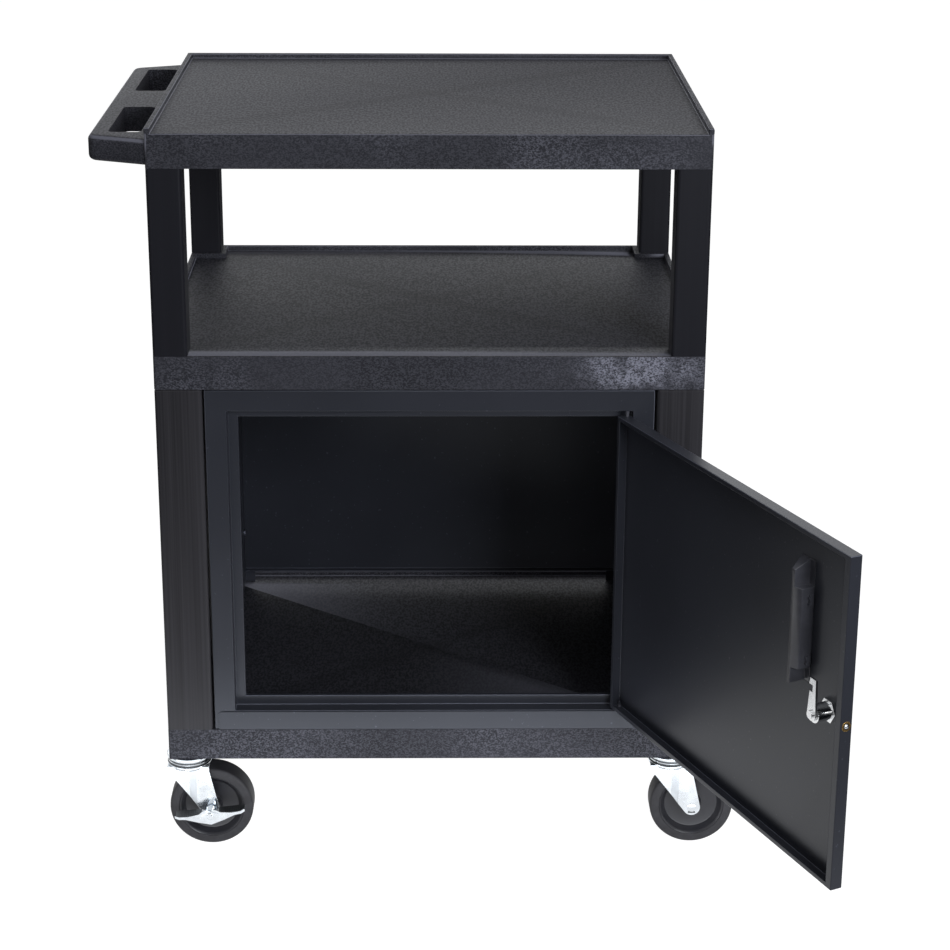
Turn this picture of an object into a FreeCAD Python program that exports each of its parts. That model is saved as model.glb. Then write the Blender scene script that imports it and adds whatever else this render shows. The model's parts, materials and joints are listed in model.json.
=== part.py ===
"""Utility cart: three moulded shelves on legs, a locking steel cabinet and four swivel casters.

Millimetres. +X is to the right, +Y to the back and +Z up. The origin is on the floor, under the shelves' centre.
The door is drawn shut and hung open, as the cart stands at rest.
"""

import FreeCAD, Part
import Sketcher
import os

SIZES = {
    # All cuts
    "overrun": 2.0,
    # Shelves
    "shelf_length": 609.6,
    "shelf_width": 457.2,
    "skirt_depth": 38.1,
    "skirt_wall": 6.0,
    "deck_thickness": 6.0,
    "shelf_corner_radius": 3.0,
    "lip_height": 6.35,
    "lip_thickness": 6.0,
    "rib_thickness": 3.0,
    "rib_setback": 4.0,
    "spigot_length": 30.0,
    "spigot_clearance": 0.3,
    # Push handle
    "handle_reach": 64.7,
    "handle_half_width": 200.0,
    "handle_drop": 7.2,
    "handle_thickness": 28.5,
    "handle_rounding": 6.0,
    "handle_corner_radius": 14.0,
    "hand_hole_width": 36.0,
    "hand_hole_length": 137.0,
    "hand_hole_inset": 8.2,
    "hand_hole_radius": 6.0,
    "hand_hole_bridge": 96.0,
    # Legs
    "upper_leg_side": 38.1,
    "upper_leg_length": 211.1,
    "lower_leg_width": 52.4,
    "lower_leg_depth": 38.1,
    "lower_leg_length": 416.9,
    "leg_wall": 3.5,
    "leg_rounding": 3.6,
    "leg_chamfer": 2.0,
    # Cabinet
    "sheet_thickness": 1.2,
    "cabinet_leg_gap": 2.4,
    "cabinet_setback": 1.4,
    "cabinet_top_gap": 1.5,
    "cabinet_back_inset": 21.4,
    "stile_width": 24.0,
    "top_rail_height": 24.5,
    "bottom_rail_height": 22.5,
    "bottom_rail_inset": 4.5,
    "bottom_rail_radius": 4.5,
    "sill_height": 23.9,
    "stop_setback": 16.0,
    "stop_width": 11.5,
    "stop_return": 5.2,
    "side_flange": 14.0,
    "back_panel_lift": 18.0,
    "back_panel_flange": 9.0,
    "cabinet_screw_radius": 2.5,
    "cabinet_screw_head_radius": 5.0,
    "cabinet_screw_head_height": 2.6,
    "cabinet_screw_length": 12.0,
    "cabinet_screw_inset": 7.5,
    "cabinet_screw_end_distance": 72.0,
    # Door
    "door_open_angle": 115.0,
    "door_hinge_gap": 1.8,
    "door_free_gap": 1.5,
    "door_bottom_gap": 1.5,
    "door_top_gap": 6.5,
    "door_thickness": 13.6,
    "door_free_lip": 9.5,
    "door_edge_lip": 5.0,
    "hinge_edge_distance": 4.2,
    "hinge_face_distance": 3.5,
    "hinge_pin_radius": 1.4,
    "hinge_pin_engagement": 9.0,
    "hinge_pin_anchor": 5.0,
    "hinge_collar_radius": 2.2,
    "hinge_bush_depth": 4.0,
    "running_clearance": 0.05,
    "bush_end_gap": 0.2,
    # Pull cup
    "pull_free_distance": 73.5,
    "pull_bottom_distance": 193.5,
    "pull_height": 131.0,
    "pull_width": 24.0,
    "pull_depth": 18.0,
    "pull_slope": 10.0,
    "pull_roof": 9.0,
    "pull_ledge": 8.5,
    "pull_box_rise": 17.0,
    "pull_box_height": 87.0,
    "pull_box_depth": 14.0,
    "pull_wall": 2.0,
    "pull_bezel_border": 5.0,
    "pull_bezel_thickness": 2.0,
    "pull_clearance": 0.2,
    # Cam lock
    "lock_free_distance": 34.5,
    "lock_bottom_distance": 181.5,
    "lock_barrel_radius": 9.5,
    "lock_barrel_reach": 20.5,
    "lock_face_radius": 11.5,
    "lock_face_thickness": 2.5,
    "lock_plug_radius": 6.0,
    "lock_nut_width": 22.5,
    "lock_nut_thickness": 4.5,
    "keyway_width": 1.6,
    "keyway_height": 7.0,
    "keyway_depth": 10.0,
    "cam_gap": 0.4,
    "cam_thickness": 2.4,
    "cam_length": 38.0,
    "cam_foot_radius": 7.0,
    "cam_waist": 5.0,
    "cam_hook_reach": 6.0,
    "cam_tip_height": 7.0,
    "cam_screw_radius": 2.0,
    "cam_screw_head_radius": 4.2,
    "cam_screw_head_height": 2.4,
    "cam_screw_depth": 8.0,
    # Ball catch
    "catch_bottom_distance": 180.0,
    "catch_flange_radius": 5.2,
    "catch_flange_thickness": 0.6,
    "catch_sleeve_radius": 4.2,
    "catch_sleeve_length": 14.0,
    "catch_bore_radius": 3.05,
    "catch_bore_depth": 11.0,
    "catch_ball_radius": 3.0,
    "catch_ball_show": 0.7,
    "strike_hole_radius": 2.6,
    # Casters
    "caster_height": 115.0,
    "caster_inset": 21.5,
    "wheel_radius": 49.0,
    "wheel_width": 30.0,
    "wheel_trail": 25.5,
    "tyre_thickness": 11.0,
    "tyre_rounding": 4.0,
    "hub_radius": 11.0,
    "hub_width": 33.0,
    "web_thickness": 14.0,
    "rim_thickness": 7.0,
    "axle_radius": 4.0,
    "axle_head_radius": 7.5,
    "axle_head_thickness": 4.0,
    "fork_thickness": 2.6,
    "fork_gap": 34.0,
    "fork_half_length": 24.0,
    "fork_foot_radius": 10.0,
    "fork_crown_thickness": 3.0,
    "fork_wheel_clearance": 2.4,
    "race_radius": 25.0,
    "race_thickness": 4.6,
    "race_gap": 0.5,
    "stem_radius": 5.5,
    "stem_length": 32.0,
    "stem_clearance": 0.1,
    # Brake lever
    "brake_half_span": 41.5,
    "brake_wing_depth": 14.0,
    "brake_wing_root": 11.0,
    "brake_hub_radius": 6.5,
    "brake_web_half": 29.0,
    "brake_thickness": 2.0,
    "brake_web_drop": 11.5,
    "brake_web_rise": 8.0,
    "brake_tilt": 8.0,
    "brake_gap": 0.4,
}

# Underside rib cells along and across, sides of the lock nut, and how near two lengths count as one
RIB_CELLS = (8, 6)
HEXAGON_SIDES = 6
TOLERANCE = 1e-6

doc = FreeCAD.newDocument("UtilityCart")
sheet = doc.addObject("Spreadsheet::Sheet", "Sizes")
nodes = []


class Size:
    """A size with its expression for the document and its value in millimetres or degrees."""

    def __init__(self, text, value):
        self.text = text
        self.value = value

    def join(self, sign, other, value):
        return Size(f"({self.text} {sign} {other.text})", value)

    def __add__(self, other):
        other = as_size(other)
        return self.join("+", other, self.value + other.value)

    def __sub__(self, other):
        other = as_size(other)
        return self.join("-", other, self.value - other.value)

    def __mul__(self, other):
        other = as_size(other)
        return self.join("*", other, self.value * other.value)

    def __truediv__(self, other):
        other = as_size(other)
        return self.join("/", other, self.value / other.value)

    def __neg__(self):
        return Size(f"(-{self.text})", -self.value)

    def __radd__(self, other):
        return as_size(other) + self

    def __rsub__(self, other):
        return as_size(other) - self

    def __rmul__(self, other):
        return as_size(other) * self


class Sizes:
    """The driving dimensions by name."""


def as_size(number):
    return number if isinstance(number, Size) else Size(repr(float(number)), float(number))


def read_sizes():
    """Writes the driving dimensions to the sheet and returns them by name."""
    sizes = Sizes()
    for row, (name, value) in enumerate(SIZES.items(), start=1):
        sheet.set(f"A{row}", name)
        sheet.set(f"B{row}", str(value))
        sheet.setAlias(f"B{row}", name)
        setattr(sizes, name, Size(f"Sizes.{name}", value))
    doc.recompute()
    return sizes


s = read_sizes()


def bind(thing, prop, size):
    thing.setExpression(prop, as_size(size).text)


def place(thing, corner):
    for axis, size in zip("xyz", corner):
        bind(thing, f"Placement.Base.{axis}", size)


def box(name, low, high):
    """A block between two opposite corners."""
    block = doc.addObject("Part::Box", name)
    for prop, start, end in zip(("Length", "Width", "Height"), low, high):
        bind(block, prop, as_size(end) - start)
    place(block, low)
    return block


AXES = {
    "x": FreeCAD.Rotation(FreeCAD.Vector(0, 1, 0), 90),
    "y": FreeCAD.Rotation(FreeCAD.Vector(1, 0, 0), -90),
    "z": FreeCAD.Rotation(),
}


def rod(name, axis, radius, start, length):
    """A round bar from its start, along one of the axes."""
    bar = doc.addObject("Part::Cylinder", name)
    bar.Placement = FreeCAD.Placement(FreeCAD.Vector(), AXES[axis])
    bind(bar, "Radius", radius)
    bind(bar, "Height", length)
    place(bar, start)
    return bar


def fuse(name, *shapes):
    joined = doc.addObject("Part::MultiFuse", name)
    joined.Shapes = list(shapes)
    joined.Refine = True
    return joined


def cut(name, base, *tools):
    removed = doc.addObject("Part::Cut", name)
    removed.Base = base
    removed.Tool = tools[0] if len(tools) == 1 else fuse(f"{name}_tools", *tools)
    removed.Refine = True
    return removed


def piece(thing, label):
    """Registers an object as one of the cart's pieces."""
    thing.Label = label
    nodes.append(thing)
    return thing


def plane_of(body, role):
    return next(feature for feature in body.Origin.OriginFeatures if feature.Role == role)


def outline(body, role, offset, *loops):
    """A sketch of closed straight-sided loops, with every corner tied to the sheet."""
    sketch = body.newObject("Sketcher::SketchObject", f"{body.Name}_sketch")
    sketch.AttachmentSupport = [(plane_of(body, role), "")]
    sketch.MapMode = "FlatFace"
    bind(sketch, "AttachmentOffset.Base.z", offset)
    for corners in loops:
        corners = [tuple(as_size(size) for size in corner) for corner in corners]
        first = sketch.GeometryCount
        points = [FreeCAD.Vector(across.value, up.value, 0) for across, up in corners]
        for start, end in zip(points, points[1:] + points[:1]):
            sketch.addGeometry(Part.LineSegment(start, end), False)
        for index, corner in enumerate(corners):
            line = first + index
            before = first + (index - 1) % len(corners)
            sketch.addConstraint(Sketcher.Constraint("Coincident", before, 2, line, 1))
            for kind, size in zip(("DistanceX", "DistanceY"), corner):
                number = sketch.addConstraint(Sketcher.Constraint(kind, -1, 1, line, 1, size.value))
                bind(sketch, f"Constraints[{number}]", size)
    return sketch


def pad(name, role, offset, length, *loops):
    """A body of one straight-sided section, padded from its plane along the plane's normal."""
    body = doc.addObject("PartDesign::Body", name)
    feature = body.newObject("PartDesign::Pad", f"{name}_pad")
    feature.Profile = outline(body, role, offset, *loops)
    bind(feature, "Length", length)
    doc.recompute()
    return body


def pad_up(name, low, high, *loops):
    return pad(name, "XY_Plane", low, as_size(high) - low, *loops)


def pad_deep(name, front, back, *loops):
    """A section in X and Z, from its front to its back."""
    return pad(name, "XZ_Plane", -as_size(back), as_size(back) - front, *loops)


def pad_across(name, left, right, *loops):
    """A section in Y and Z, from its left to its right."""
    return pad(name, "YZ_Plane", left, as_size(right) - left, *loops)


def turn(name, centre, section):
    """A solid of revolution about a line along Y. The section's corners are (radius, y) pairs."""
    body = doc.addObject("PartDesign::Body", name)
    sketch = outline(body, "XY_Plane", 0, section)
    feature = body.newObject("PartDesign::Revolution", f"{name}_turn")
    feature.Profile = sketch
    feature.ReferenceAxis = (sketch, ["V_Axis"])
    doc.recompute()
    place(body, centre)
    return body


def soften(body, kind, radius, edges):
    """Rounds or bevels the named edges of a body."""
    feature = body.newObject(f"PartDesign::{kind}", f"{body.Name}_{kind}")
    feature.Base = (body.Tip if body.Tip is not feature else feature.BaseFeature, edges)
    bind(feature, "Radius" if kind == "Fillet" else "Size", radius)
    doc.recompute()


def edges_where(body, test):
    return [f"Edge{n}" for n, edge in enumerate(body.Shape.Edges, start=1) if test(edge, body.Shape.BoundBox)]


def is_along(edge, axis):
    start, end = (vertex.Point for vertex in (edge.Vertexes[0], edge.Vertexes[-1]))
    direction = end - start
    return direction.Length > 0 and abs(direction.normalize().dot(axis)) > 1 - TOLERANCE


UP = FreeCAD.Vector(0, 0, 1)


def outer_uprights(edge, bounds):
    """The upright edges at the outside corners."""
    if not is_along(edge, UP):
        return False
    point = edge.Vertexes[0].Point
    at_x = min(abs(point.x - bounds.XMin), abs(point.x - bounds.XMax))
    at_y = min(abs(point.y - bounds.YMin), abs(point.y - bounds.YMax))
    return at_x < TOLERANCE and at_y < TOLERANCE


def uprights(edge, bounds):
    return is_along(edge, UP)


def top_outer_rim(edge, bounds):
    """The top edges along the outside faces."""
    box_of = edge.BoundBox
    flat = box_of.ZLength < TOLERANCE and abs(box_of.ZMax - bounds.ZMax) < TOLERANCE
    on_side = min(abs(box_of.XMin - bounds.XMin), abs(box_of.XMax - bounds.XMax)) < TOLERANCE
    on_end = min(abs(box_of.YMin - bounds.YMin), abs(box_of.YMax - bounds.YMax)) < TOLERANCE
    return flat and (on_side or on_end)


def rectangle(low_x, low_y, high_x, high_y):
    return [(low_x, low_y), (high_x, low_y), (high_x, high_y), (low_x, high_y)]


def side(sign, near, far):
    """The low and high ends of a stretch on one side of the middle."""
    return (near, far) if sign > 0 else (-as_size(far), -as_size(near))


# Levels and faces that several pieces share

HALF_LENGTH = s.shelf_length / 2
HALF_WIDTH = s.shelf_width / 2
BOTTOM_UNDERSIDE = s.caster_height
BOTTOM_DECK = BOTTOM_UNDERSIDE + s.skirt_depth
MIDDLE_UNDERSIDE = BOTTOM_DECK + s.lower_leg_length
MIDDLE_DECK = MIDDLE_UNDERSIDE + s.skirt_depth
TOP_UNDERSIDE = MIDDLE_DECK + s.upper_leg_length
TOP_DECK = TOP_UNDERSIDE + s.skirt_depth
CORNERS = {
    "front_left": (-1, -1),
    "front_right": (1, -1),
    "rear_left": (-1, 1),
    "rear_right": (1, 1),
}
UPPER_LEG = (s.upper_leg_side, s.upper_leg_side)
LOWER_LEG = (s.lower_leg_width, s.lower_leg_depth)


def leg_footprint(signs, leg, inset):
    """The rectangle of a leg at a shelf corner, drawn in by an inset."""
    low_x, high_x = side(signs[0], HALF_LENGTH - leg[0] + inset, HALF_LENGTH - inset)
    low_y, high_y = side(signs[1], HALF_WIDTH - leg[1] + inset, HALF_WIDTH - inset)
    return low_x, low_y, high_x, high_y


def column(name, footprint, low, high):
    low_x, low_y, high_x, high_y = footprint
    return box(name, (low_x, low_y, low), (high_x, high_y, high))


# Shelves


def ribs(name, underside):
    """A grid of stiffening ribs with two diagonals under a deck."""
    low = underside + s.rib_setback
    high = underside + s.skirt_depth - s.deck_thickness
    half_x = HALF_LENGTH - s.skirt_wall
    half_y = HALF_WIDTH - s.skirt_wall
    half_rib = s.rib_thickness / 2
    bars = []
    for n in range(1, RIB_CELLS[0]):
        middle = half_x * (2 * n / RIB_CELLS[0] - 1)
        bars.append(box(f"{name}_rib", (middle - half_rib, -half_y, low), (middle + half_rib, half_y, high)))
    for n in range(1, RIB_CELLS[1]):
        middle = half_y * (2 * n / RIB_CELLS[1] - 1)
        bars.append(box(f"{name}_rib", (-half_x, middle - half_rib, low), (half_x, middle + half_rib, high)))
    across = s.rib_thickness * s.shelf_length / s.shelf_width
    for sign in (-1, 1):
        diagonal = [
            (-half_x, -sign * half_y),
            (across - half_x, -sign * half_y),
            (half_x, sign * half_y),
            (half_x - across, sign * half_y),
        ]
        bars.append(pad_up(f"{name}_diagonal", low, high, diagonal))
    return bars


def lips(name, deck, leg):
    """A raised rim along the left, right and back edges, stopping at the legs that stand on the deck."""
    top = deck + s.lip_height
    along_x, along_y = leg
    rims = [box(f"{name}_back_lip", (along_x - HALF_LENGTH, HALF_WIDTH - s.lip_thickness, deck),
                (HALF_LENGTH - along_x, HALF_WIDTH, top))]
    for sign in (-1, 1):
        low_x, high_x = side(sign, HALF_LENGTH - s.lip_thickness, HALF_LENGTH)
        rims.append(box(f"{name}_side_lip", (low_x, along_y - HALF_WIDTH, deck),
                        (high_x, HALF_WIDTH - along_y, top)))
    return rims


def rear_leg_rims(name, deck, leg):
    """The lip's return round the inner sides of the rear legs."""
    top = deck + s.lip_height
    inner_y = HALF_WIDTH - leg[1]
    rims = []
    for sign in (-1, 1):
        low_x, high_x = side(sign, HALF_LENGTH - leg[0] - s.lip_thickness, HALF_LENGTH)
        rims.append(box(f"{name}_rim", (low_x, inner_y - s.lip_thickness, deck), (high_x, inner_y, top)))
        low_x, high_x = side(sign, HALF_LENGTH - leg[0] - s.lip_thickness, HALF_LENGTH - leg[0])
        rims.append(box(f"{name}_rim", (low_x, inner_y, deck), (high_x, HALF_WIDTH, top)))
    return rims


def shelf(name, underside, block, added):
    """A moulded tray, open below, with solid corner blocks for the legs and casters."""
    deck = underside + s.skirt_depth
    tray = pad_up(f"{name}_tray", underside, deck,
                  rectangle(-HALF_LENGTH, -HALF_WIDTH, HALF_LENGTH, HALF_WIDTH))
    soften(tray, "Fillet", s.shelf_corner_radius, edges_where(tray, outer_uprights))
    hollow = box(f"{name}_hollow",
                 (s.skirt_wall - HALF_LENGTH, s.skirt_wall - HALF_WIDTH, underside - s.overrun),
                 (HALF_LENGTH - s.skirt_wall, HALF_WIDTH - s.skirt_wall, deck - s.deck_thickness))
    shell = cut(f"{name}_shell", tray, hollow)
    blocks = [column(f"{name}_block", leg_footprint(signs, block, s.skirt_wall / 2), underside, deck)
              for signs in CORNERS.values()]
    return fuse(f"{name}_moulding", shell, *ribs(name, underside), *blocks, *added)


def spigots(name, leg, low, high):
    """Square plugs that the hollow legs fit over."""
    inset = s.leg_wall + s.spigot_clearance
    return [column(f"{name}_spigot", leg_footprint(signs, leg, inset), low, high) for signs in CORNERS.values()]


def push_handle():
    """The trapezoid handle with two hand holes, moulded into the left end of the top shelf."""
    high = TOP_DECK - s.handle_drop
    low = high - s.handle_thickness
    outer = -(HALF_LENGTH + s.handle_reach)
    inner = s.skirt_wall - HALF_LENGTH
    base = HALF_WIDTH - s.shelf_corner_radius
    bar = pad_up("handle", low, high, [
        (inner, -base),
        (-HALF_LENGTH, -base),
        (outer, -s.handle_half_width),
        (outer, s.handle_half_width),
        (-HALF_LENGTH, base),
        (inner, base),
    ])
    soften(bar, "Fillet", s.handle_corner_radius, edges_where(bar, outer_left_uprights))
    soften(bar, "Fillet", s.handle_rounding, edges_where(bar, handle_rim))
    holes = []
    for sign in (-1, 1):
        low_y, high_y = side(sign, s.hand_hole_bridge / 2, s.hand_hole_bridge / 2 + s.hand_hole_length)
        high_x = -HALF_LENGTH - s.hand_hole_inset
        hole = pad_up("hand_hole", low - s.overrun, high + s.overrun,
                      rectangle(high_x - s.hand_hole_width, low_y, high_x, high_y))
        soften(hole, "Fillet", s.hand_hole_radius, edges_where(hole, uprights))
        holes.append(hole)
    return cut("handle_bar", bar, *holes)


def outer_left_uprights(edge, bounds):
    return is_along(edge, UP) and abs(edge.Vertexes[0].Point.x - bounds.XMin) < TOLERANCE


def handle_rim(edge, bounds):
    """The upper and lower edges of the handle that stand clear of the shelf."""
    box_of = edge.BoundBox
    level = box_of.ZLength < TOLERANCE
    return level and box_of.XMin < -HALF_LENGTH.value - TOLERANCE


def caster_place(signs):
    """The swivel axis of a caster, set in from the shelf's corner."""
    return (signs[0] * (HALF_LENGTH - s.caster_inset), signs[1] * (HALF_WIDTH - s.caster_inset))


def make_shelves():
    no_leg = (as_size(0), as_size(0))
    piece(shelf("top_shelf", TOP_UNDERSIDE, UPPER_LEG, [
        *lips("top_shelf", TOP_DECK, no_leg),
        *spigots("top_shelf", UPPER_LEG, TOP_UNDERSIDE - s.spigot_length, TOP_UNDERSIDE),
        push_handle(),
    ]), "top_shelf")
    piece(shelf("middle_shelf", MIDDLE_UNDERSIDE, LOWER_LEG, [
        *lips("middle_shelf", MIDDLE_DECK, UPPER_LEG),
        *rear_leg_rims("middle_shelf", MIDDLE_DECK, UPPER_LEG),
        *spigots("middle_shelf", UPPER_LEG, MIDDLE_DECK, MIDDLE_DECK + s.spigot_length),
        *spigots("middle_shelf", LOWER_LEG, MIDDLE_UNDERSIDE - s.spigot_length, MIDDLE_UNDERSIDE),
    ]), "middle_shelf")
    bottom = shelf("bottom_shelf", BOTTOM_UNDERSIDE, LOWER_LEG, [
        *lips("bottom_shelf", BOTTOM_DECK, LOWER_LEG),
        *spigots("bottom_shelf", LOWER_LEG, BOTTOM_DECK, BOTTOM_DECK + s.spigot_length),
    ])
    sockets = []
    for signs in CORNERS.values():
        x, y = caster_place(signs)
        sockets.append(rod("stem_socket", "z", s.stem_radius + s.stem_clearance,
                           (x, y, BOTTOM_UNDERSIDE - s.overrun), s.stem_length + s.overrun))
    piece(cut("bottom_shelf", bottom, *sockets), "bottom_shelf")


# Legs


def leg(name, signs, footprint, low, high, bevelled):
    """A square hollow leg. A bevelled one has its top edge chamfered."""
    tube = pad_up(name, low, high, rectangle(*leg_footprint(signs, footprint, as_size(0))),
                  rectangle(*leg_footprint(signs, footprint, s.leg_wall)))
    soften(tube, "Fillet", s.leg_rounding, edges_where(tube, outer_uprights))
    if bevelled:
        soften(tube, "Chamfer", s.leg_chamfer, edges_where(tube, top_outer_rim))
    return tube


def make_legs():
    for corner, signs in CORNERS.items():
        piece(leg(f"upper_leg_{corner}", signs, UPPER_LEG, MIDDLE_DECK, TOP_UNDERSIDE, False),
              f"upper_leg_{corner}")
        tube = leg(f"lower_leg_{corner}_tube", signs, LOWER_LEG, BOTTOM_DECK, MIDDLE_UNDERSIDE, True)
        holes = [cabinet_screw_shank(signs, height) for height in CABINET_SCREW_HEIGHTS]
        piece(cut(f"lower_leg_{corner}", tube, *holes), f"lower_leg_{corner}")


# Cabinet

CABINET_HALF = HALF_LENGTH - s.lower_leg_width - s.cabinet_leg_gap
CABINET_LOW = BOTTOM_DECK
CABINET_HIGH = MIDDLE_UNDERSIDE - s.cabinet_top_gap
CABINET_FRONT = s.cabinet_setback - HALF_WIDTH
CABINET_BACK = HALF_WIDTH - s.cabinet_back_inset
FRAME_BACK = CABINET_FRONT + s.sheet_thickness
OPENING_HALF = CABINET_HALF - s.stile_width
OPENING_LOW = CABINET_LOW + s.sill_height
OPENING_HIGH = CABINET_HIGH - s.top_rail_height
STOP_FRONT = CABINET_FRONT + s.stop_setback
CABINET_SCREW_HEIGHTS = (CABINET_LOW + s.cabinet_screw_end_distance, CABINET_HIGH - s.cabinet_screw_end_distance)


def cabinet_screw_shank(signs, height):
    """The hole or shank of a screw through a cabinet side into a lower leg."""
    inner = CABINET_HALF - s.sheet_thickness
    y = signs[1] * (HALF_WIDTH - s.lower_leg_depth + s.cabinet_screw_inset)
    start = inner if signs[0] > 0 else -(inner + s.cabinet_screw_length)
    return rod("cabinet_screw", "x", s.cabinet_screw_radius, (start, y, height), s.cabinet_screw_length)


def ring(name, half, low, high, front, back, border):
    """A frame of rectangular bars round an opening, the border being outside the opening."""
    outside = box(f"{name}_outside", (-(half + border), front, low - border), (half + border, back, high + border))
    inside = box(f"{name}_inside", (-half, front - s.overrun, low), (half, back + s.overrun, high))
    return cut(name, outside, inside)


def cabinet_frame():
    """The folded front: a flat border, the door recess and the stop that the door closes on."""
    plate = box("frame_plate", (-CABINET_HALF, CABINET_FRONT, CABINET_LOW), (CABINET_HALF, FRAME_BACK, CABINET_HIGH))
    opening = box("frame_opening", (-OPENING_HALF, CABINET_FRONT - s.overrun, OPENING_LOW),
                  (OPENING_HALF, FRAME_BACK + s.overrun, OPENING_HIGH))
    border = cut("frame_border", plate, opening)
    recess = ring("frame_recess", OPENING_HALF, OPENING_LOW, OPENING_HIGH, CABINET_FRONT, STOP_FRONT,
                  s.sheet_thickness)
    stop_half = OPENING_HALF - s.stop_width
    stop_low = OPENING_LOW + s.stop_width
    stop_high = OPENING_HIGH - s.stop_width
    stop = ring("frame_stop", stop_half, stop_low, stop_high, STOP_FRONT, STOP_FRONT + s.sheet_thickness,
                s.stop_width + s.sheet_thickness)
    stop_edge = ring("frame_stop_edge", stop_half, stop_low, stop_high, STOP_FRONT, STOP_FRONT + s.stop_return,
                     s.sheet_thickness)
    folded = fuse("frame_folded", border, recess, stop, stop_edge)
    x, y = HINGE
    anchors = [rod("frame_hinge_hole", "z", s.hinge_pin_radius, (x, y, low), s.sheet_thickness + s.overrun * 2)
               for low in (OPENING_LOW - s.sheet_thickness - s.overrun, OPENING_HIGH - s.overrun)]
    strike = rod("frame_strike_hole", "x", s.strike_hole_radius,
                 (-(OPENING_HALF + s.sheet_thickness + s.overrun), CATCH_Y, CATCH_Z),
                 s.sheet_thickness + s.overrun * 2)
    return cut("cabinet_frame", folded, *anchors, strike)


def bottom_rail():
    """The strip laid over the foot of the frame, with rounded upper corners."""
    half = CABINET_HALF - s.bottom_rail_inset
    rail = pad_deep("bottom_rail", CABINET_FRONT - s.sheet_thickness, CABINET_FRONT,
                    rectangle(-half, CABINET_LOW, half, CABINET_LOW + s.bottom_rail_height))
    soften(rail, "Fillet", s.bottom_rail_radius, edges_where(rail, upper_cross_edges))
    return rail


def upper_cross_edges(edge, bounds):
    """The front-to-back edges at the top corners."""
    return is_along(edge, FreeCAD.Vector(0, 1, 0)) and abs(edge.BoundBox.ZMin - bounds.ZMax) < TOLERANCE


def cabinet_side(sign):
    """A side panel with a flange turned in at its back edge, drilled for the screws into the legs."""
    name = "cabinet_side_right" if sign > 0 else "cabinet_side_left"
    low_x, high_x = side(sign, CABINET_HALF - s.sheet_thickness, CABINET_HALF)
    wall = box(f"{name}_wall", (low_x, FRAME_BACK, CABINET_LOW), (high_x, CABINET_BACK, CABINET_HIGH))
    low_x, high_x = side(sign, CABINET_HALF - s.side_flange, CABINET_HALF)
    flange = box(f"{name}_flange", (low_x, CABINET_BACK - s.sheet_thickness, CABINET_LOW),
                 (high_x, CABINET_BACK, CABINET_HIGH))
    holes = [cabinet_screw_shank((sign, end), height) for end in (-1, 1) for height in CABINET_SCREW_HEIGHTS]
    return cut(name, fuse(f"{name}_folded", wall, flange), *holes)


def back_panel():
    """The back sheet against the side flanges, with its foot turned forward above the deck."""
    half = CABINET_HALF - s.sheet_thickness
    low = CABINET_LOW + s.back_panel_lift
    back = CABINET_BACK - s.sheet_thickness
    front = back - s.sheet_thickness
    wall = box("back_panel_wall", (-half, front, low), (half, back, CABINET_HIGH))
    foot = box("back_panel_foot", (-half, front - s.back_panel_flange, low), (half, back, low + s.sheet_thickness))
    return fuse("cabinet_back", wall, foot)


def cabinet_screws():
    """The pan-head screws that hold the cabinet sides to the legs, heads inside."""
    screws = []
    inner = CABINET_HALF - s.sheet_thickness
    for signs in CORNERS.values():
        y = signs[1] * (HALF_WIDTH - s.lower_leg_depth + s.cabinet_screw_inset)
        start = inner - s.cabinet_screw_head_height if signs[0] > 0 else -inner
        for height in CABINET_SCREW_HEIGHTS:
            head = rod("cabinet_screw_head", "x", s.cabinet_screw_head_radius, (start, y, height),
                       s.cabinet_screw_head_height)
            screws.append(fuse("cabinet_screw", head, cabinet_screw_shank(signs, height)))
    group = doc.addObject("Part::Compound", "cabinet_screws")
    group.Links = screws
    return group


def make_cabinet():
    piece(cabinet_frame(), "cabinet_frame")
    piece(bottom_rail(), "cabinet_bottom_rail")
    piece(cabinet_side(-1), "cabinet_side_left")
    piece(cabinet_side(1), "cabinet_side_right")
    piece(back_panel(), "cabinet_back")
    piece(cabinet_screws(), "cabinet_screws")


# Door, drawn shut

DOOR_FREE = s.door_free_gap - OPENING_HALF
DOOR_HINGE = OPENING_HALF - s.door_hinge_gap
DOOR_LOW = OPENING_LOW + s.door_bottom_gap
DOOR_HIGH = OPENING_HIGH - s.door_top_gap
DOOR_FRONT = CABINET_FRONT
DOOR_SKIN_BACK = DOOR_FRONT + s.sheet_thickness
DOOR_BACK = DOOR_FRONT + s.door_thickness
HINGE = (DOOR_HINGE - s.hinge_edge_distance, DOOR_FRONT + s.hinge_face_distance)
PULL_FREE = DOOR_FREE + s.pull_free_distance
PULL_HINGE = PULL_FREE + s.pull_width
PULL_LOW = DOOR_LOW + s.pull_bottom_distance
PULL_HIGH = PULL_LOW + s.pull_height
PULL_BACK = DOOR_SKIN_BACK + s.pull_depth
LOCK_X = DOOR_FREE + s.lock_free_distance
LOCK_Z = DOOR_LOW + s.lock_bottom_distance
LOCK_END = DOOR_SKIN_BACK + s.lock_barrel_reach
CATCH_Y = (DOOR_FRONT + DOOR_BACK) / 2
CATCH_Z = DOOR_LOW + s.catch_bottom_distance


def hang(thing, label):
    """Swings a piece drawn with the door shut to its open rest place, and registers it."""
    x, y = (size.text for size in HINGE)
    thing.setExpression("Placement", (
        "create(<<placement>>; create(<<vector>>; 0; 0; 0); "
        f"create(<<rotation>>; create(<<vector>>; 0; 0; 1); {s.door_open_angle.text}); "
        f"create(<<vector>>; {x}; {y}; 0))"))
    return piece(thing, label)


def pull_plate(name, front, back, border):
    """A plate over the outline of the pull cup, grown by a border."""
    return box(name, (PULL_FREE - border, front, PULL_LOW - border), (PULL_HINGE + border, back, PULL_HIGH + border))


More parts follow.
